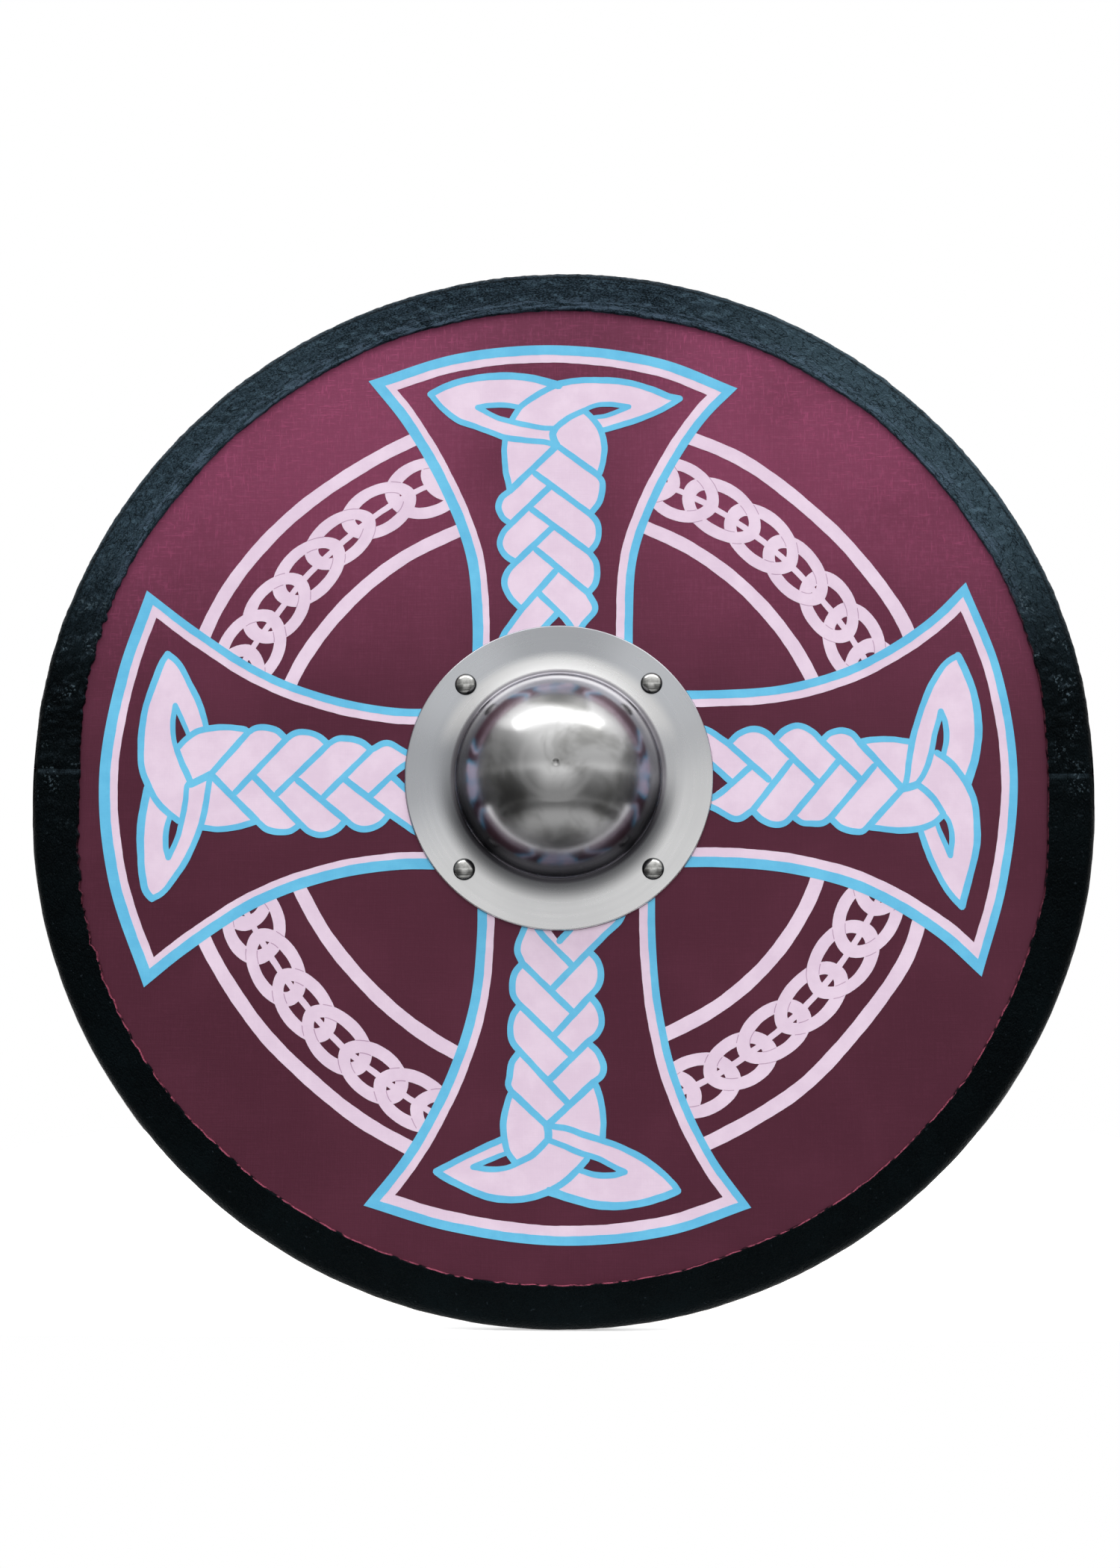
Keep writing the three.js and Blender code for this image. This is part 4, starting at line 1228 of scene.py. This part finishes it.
def bright_material():
    """Plated bolt heads, with a painted dark reflection over their sloping sides, down to where they meet the
    flange.
    """
    s = Surface("bright_plated_steel", colour(205, 205, 203), 0.1, 1.0)
    facing = s.split(s.normal())[1]
    base = s.mix(s.noise(500).ramp(0.4, 0.75), colour(222, 222, 219), colour(188, 188, 185))
    # Painted dark reflection over the sloping sides of the heads
    base = base.cover(colour(52, 54, 56), facing.ramp(-0.90, -0.62))
    return s.dress(base, s.noise(300).ramp(0.3, 0.8, 0.07, 0.16), (s.noise(260, 2), 0.2, 0.0002))


def zinc_material():
    s = Surface("zinc_plated_steel", colour(200, 202, 204), 0.35, 1.0)
    cloud, fine = s.noise(420, 4, 0.6), s.noise(2600, 2)
    base = s.mix(cloud.ramp(0.35, 0.75), colour(214, 216, 214), colour(178, 180, 184))
    base = base.cover(colour(160, 158, 150), fine.ramp(0.6, 0.8) * 0.3)
    return s.dress(base, cloud.ramp(0.3, 0.8, 0.26, 0.46), (fine, 0.3, 0.00005))


def ash_material():
    s = Surface("oiled_ash", colour(176, 134, 86), 0.5)
    rings, pores, hand = s.noise((5, 95, 95), bend=0.4), s.noise((45, 1500, 1500), 2), s.noise(24)
    lines = s.term("ShaderNodeTexWave", settings={"wave_type": "BANDS", "bands_direction": "Z"}, output="Fac",
                   Vector=s.stretched((4, 60, 60)), Scale=1.0, Distortion=5.0, Detail=2.0)
    base = s.mix(rings.ramp(0.35, 0.7), colour(199, 158, 108), colour(158, 113, 66))
    base = base.cover(colour(140, 97, 55), lines * 0.45)
    base = base.cover(colour(102, 68, 38), pores.ramp(0.58, 0.72) * 0.6)
    base = base.cover(colour(122, 84, 50), hand.ramp(0.45, 0.8) * 0.25)
    return s.dress(base, hand.ramp(0.3, 0.8, 0.38, 0.6), (pores.ramp(0.5, 0.75), 0.4, 0.00015))


def plywood_material():
    """Birch with its figure on the faces and its layers on the edges."""
    s = Surface("birch_plywood", colour(214, 182, 140), 0.62)
    on_face = abs(s.split(s.normal())[1]).ramp(0.5, 0.8)
    figure = s.noise((3.2, 4, 17), 3, 0.55, 1.3)
    pores, cloud = s.noise((120, 900, 2400), 2), s.noise(5)
    face = s.mix(cloud.ramp(0.3, 0.75), colour(212, 187, 152), colour(192, 162, 124))
    face = face.cover(colour(166, 130, 92), s.math("SINE", figure * 64).ramp(-0.6, 1.0, 0.0, 0.36))
    face = face.cover(colour(150, 108, 70), pores.ramp(0.58, 0.75) * 0.5)
    layers = s.math("SINE", s.split(s.place)[1] * (math.pi * PLIES / BOARD * 1000))
    edge = s.mix(layers.ramp(-0.4, 0.4), colour(118, 82, 52), colour(206, 172, 128))
    edge = edge.cover(colour(92, 62, 38), s.noise(700).ramp(0.45, 0.7) * 0.45)
    return s.dress(s.mix(on_face, edge, face), cloud.ramp(0.3, 0.8, 0.55, 0.72),
                   (pores.ramp(0.5, 0.8), 0.35, 0.00015), (s.noise(90), 0.15, 0.0003))


# Floor, light and camera

def make_floor():
    """A pale floor under the shield, which the camera sees as white but for the shadow on it."""
    s = Surface("pale_floor", (0.80, 0.80, 0.80, 1), 0.9)
    speckle = s.noise(240).ramp(0.3, 0.8)
    s.fill(s.shader, Base_Color=s.mix(speckle, (0.79, 0.79, 0.79, 1), (0.82, 0.82, 0.82, 1)))
    x, y, _ = s.split(s.place)
    seen = s.seen_by("Is Camera Ray", "Is Glossy Ray", "Is Transmission Ray")
    glow = seen * s.distance(x, y).ramp(0.35, 0.8, 0.5, 1.0)
    shine = s.term("ShaderNodeEmission", Color=(1, 1, 1, 1), Strength=glow)
    lit = Term(s, s.shader.outputs[0])
    s.fill(s.tree.nodes["Material Output"], Surface=s.term("ShaderNodeAddShader", lit, shine))
    wide, near, far, level = 0.8, -0.03, 1.8, -OVERALL / 2000
    corners = [(-wide, near, level), (wide, near, level), (wide, far, level), (-wide, far, level)]
    mesh = bpy.data.meshes.new("floor")
    mesh.from_pydata(corners, [], [(0, 1, 2, 3)])
    mesh.materials.append(s.material)
    new_object("floor", mesh)


def grey(level):
    return (level, level, level, 1)


# The room in front of the shield, as (height, grey) from straight down to straight up
ROOM = ((-1.0, 0.12), (-0.95, 0.16), (-0.90, 0.22), (-0.83, 0.42), (-0.68, 0.42), (-0.60, 0.08),
        (-0.51, 0.10), (-0.48, 0.60), (-0.45, 0.24), (-0.36, 0.26), (-0.22, 0.40), (-0.08, 0.62),
        (0.02, 0.82), (0.08, 0.82), (0.20, 0.50), (0.28, 0.50), (0.50, 0.66), (0.62, 0.86),
        (0.74, 1.0), (0.97, 1.0), (0.99, 0.6), (1.0, 0.4))


def make_world():
    """White where the camera looks and behind the shield. In front a grey room, darker at its sides."""
    world = bpy.data.worlds.new("studio")
    bpy.context.scene.world = world
    world.use_nodes = True
    w = Nodes(world.node_tree)
    x, y, z = w.split(w.term("ShaderNodeTexCoord", output="Generated"))
    stops = w.node("ShaderNodeValToRGB", (z + 1.0) * 0.5)
    elements = stops.color_ramp.elements
    while len(elements) < len(ROOM):
        elements.new(0.5)
    for element, (height, level) in zip(elements, ROOM):
        element.position = (height + 1) / 2
        element.color = grey(level)
    low = abs(x).ramp(0.15, 0.5) * z.ramp(0.12, 0.0) * z.ramp(-0.62, -0.40)
    room = w.mix(low, Term(w, stops.outputs[0]), grey(0.4), "MULTIPLY")
    sides = x.ramp(-0.80, -0.25) * x.ramp(0.99, 0.86) * 0.62 + 0.38
    front = w.mix(1.0, room, w.highest(sides, z.ramp(0.58, 0.72)), "MULTIPLY")
    seen = w.seen_by("Is Camera Ray", "Is Transmission Ray")
    sweep = w.mix(seen, w.mix(y.ramp(0.2, 0.5), front, grey(1)), grey(1))
    w.fill(w.tree.nodes["Background"], Color=sweep)


def aim(piece, at, target):
    piece.location = at
    piece.rotation_euler = (Vector(target) - Vector(at)).to_track_quat("-Z", "Y").to_euler()


def lamp(name, at, size, power, mirrored=False):
    """A rectangular lamp that looks at the middle of the shield."""
    light = bpy.data.lights.new(name, "AREA")
    light.shape = "RECTANGLE"
    light.size, light.size_y = size
    light.energy = power
    made = new_object(name, light)
    made.visible_glossy = mirrored
    aim(made, at, (0, 0, 0))


def make_camera():
    data = bpy.data.cameras.new("camera")
    data.lens = 37.714
    data.sensor_width = 36
    data.clip_start, data.clip_end = 0.02, 50
    camera = new_object("camera", data)
    aim(camera, (0.0281, -0.9370, -0.1440), (0.0005, 0, -0.0029))
    bpy.context.scene.camera = camera


make_camera()
make_floor()
make_world()
lamp("overhead", (0, -2.3, 4.4), (5.2, 2.4), 80)
lamp("strip", (0, -1.94, 4.57), (8.0, 1.6), 64, mirrored=True)
lamp("key_left", (-3.0, -2.2, 3.2), (2.8, 2.8), 34)
lamp("key_right", (3.0, -2.2, 3.2), (2.8, 2.8), 46)
lamp("fill", (0.2, -2.6, -0.5), (1.6, 1.6), 14)
lamp("back", (0.3, 2.2, 0.9), (1.6, 1.2), 22, mirrored=True)

make_canvas(cloth_material())
make_paint({
    "pink": paint_material("pink_paint", colour(236, 213, 233), colour(240, 218, 237), colour(231, 207, 228)),
    "blue": paint_material("blue_paint", colour(104, 198, 238), colour(110, 203, 241), colour(96, 190, 232)),
    "line": paint_material("darker_pink_line", colour(196, 160, 190), colour(204, 170, 198),
                           colour(184, 146, 178)),
})
leather = leather_material()
rim_half("rim_upper", LEFT_SEAM, 0, "rim_leather_upper", leather)
rim_half("rim_lower", 360, LEFT_SEAM, "rim_leather_lower", leather)
make_boss(boss_material())
bright, zinc = bright_material(), zinc_material()
for number, centre in enumerate(bolt_places(), 1):
    make_bolt(number, centre, bright)
    make_washer(number, centre, zinc)
    make_nut(number, centre, zinc)
make_grip(ash_material())
for number, x in enumerate(SCREW_PLACES, 1):
    make_screw(number, x, zinc)

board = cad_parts["board"]
board.data.materials.clear()
board.data.materials.append(plywood_material())

scene = bpy.context.scene
scene.view_settings.view_transform = "Standard"
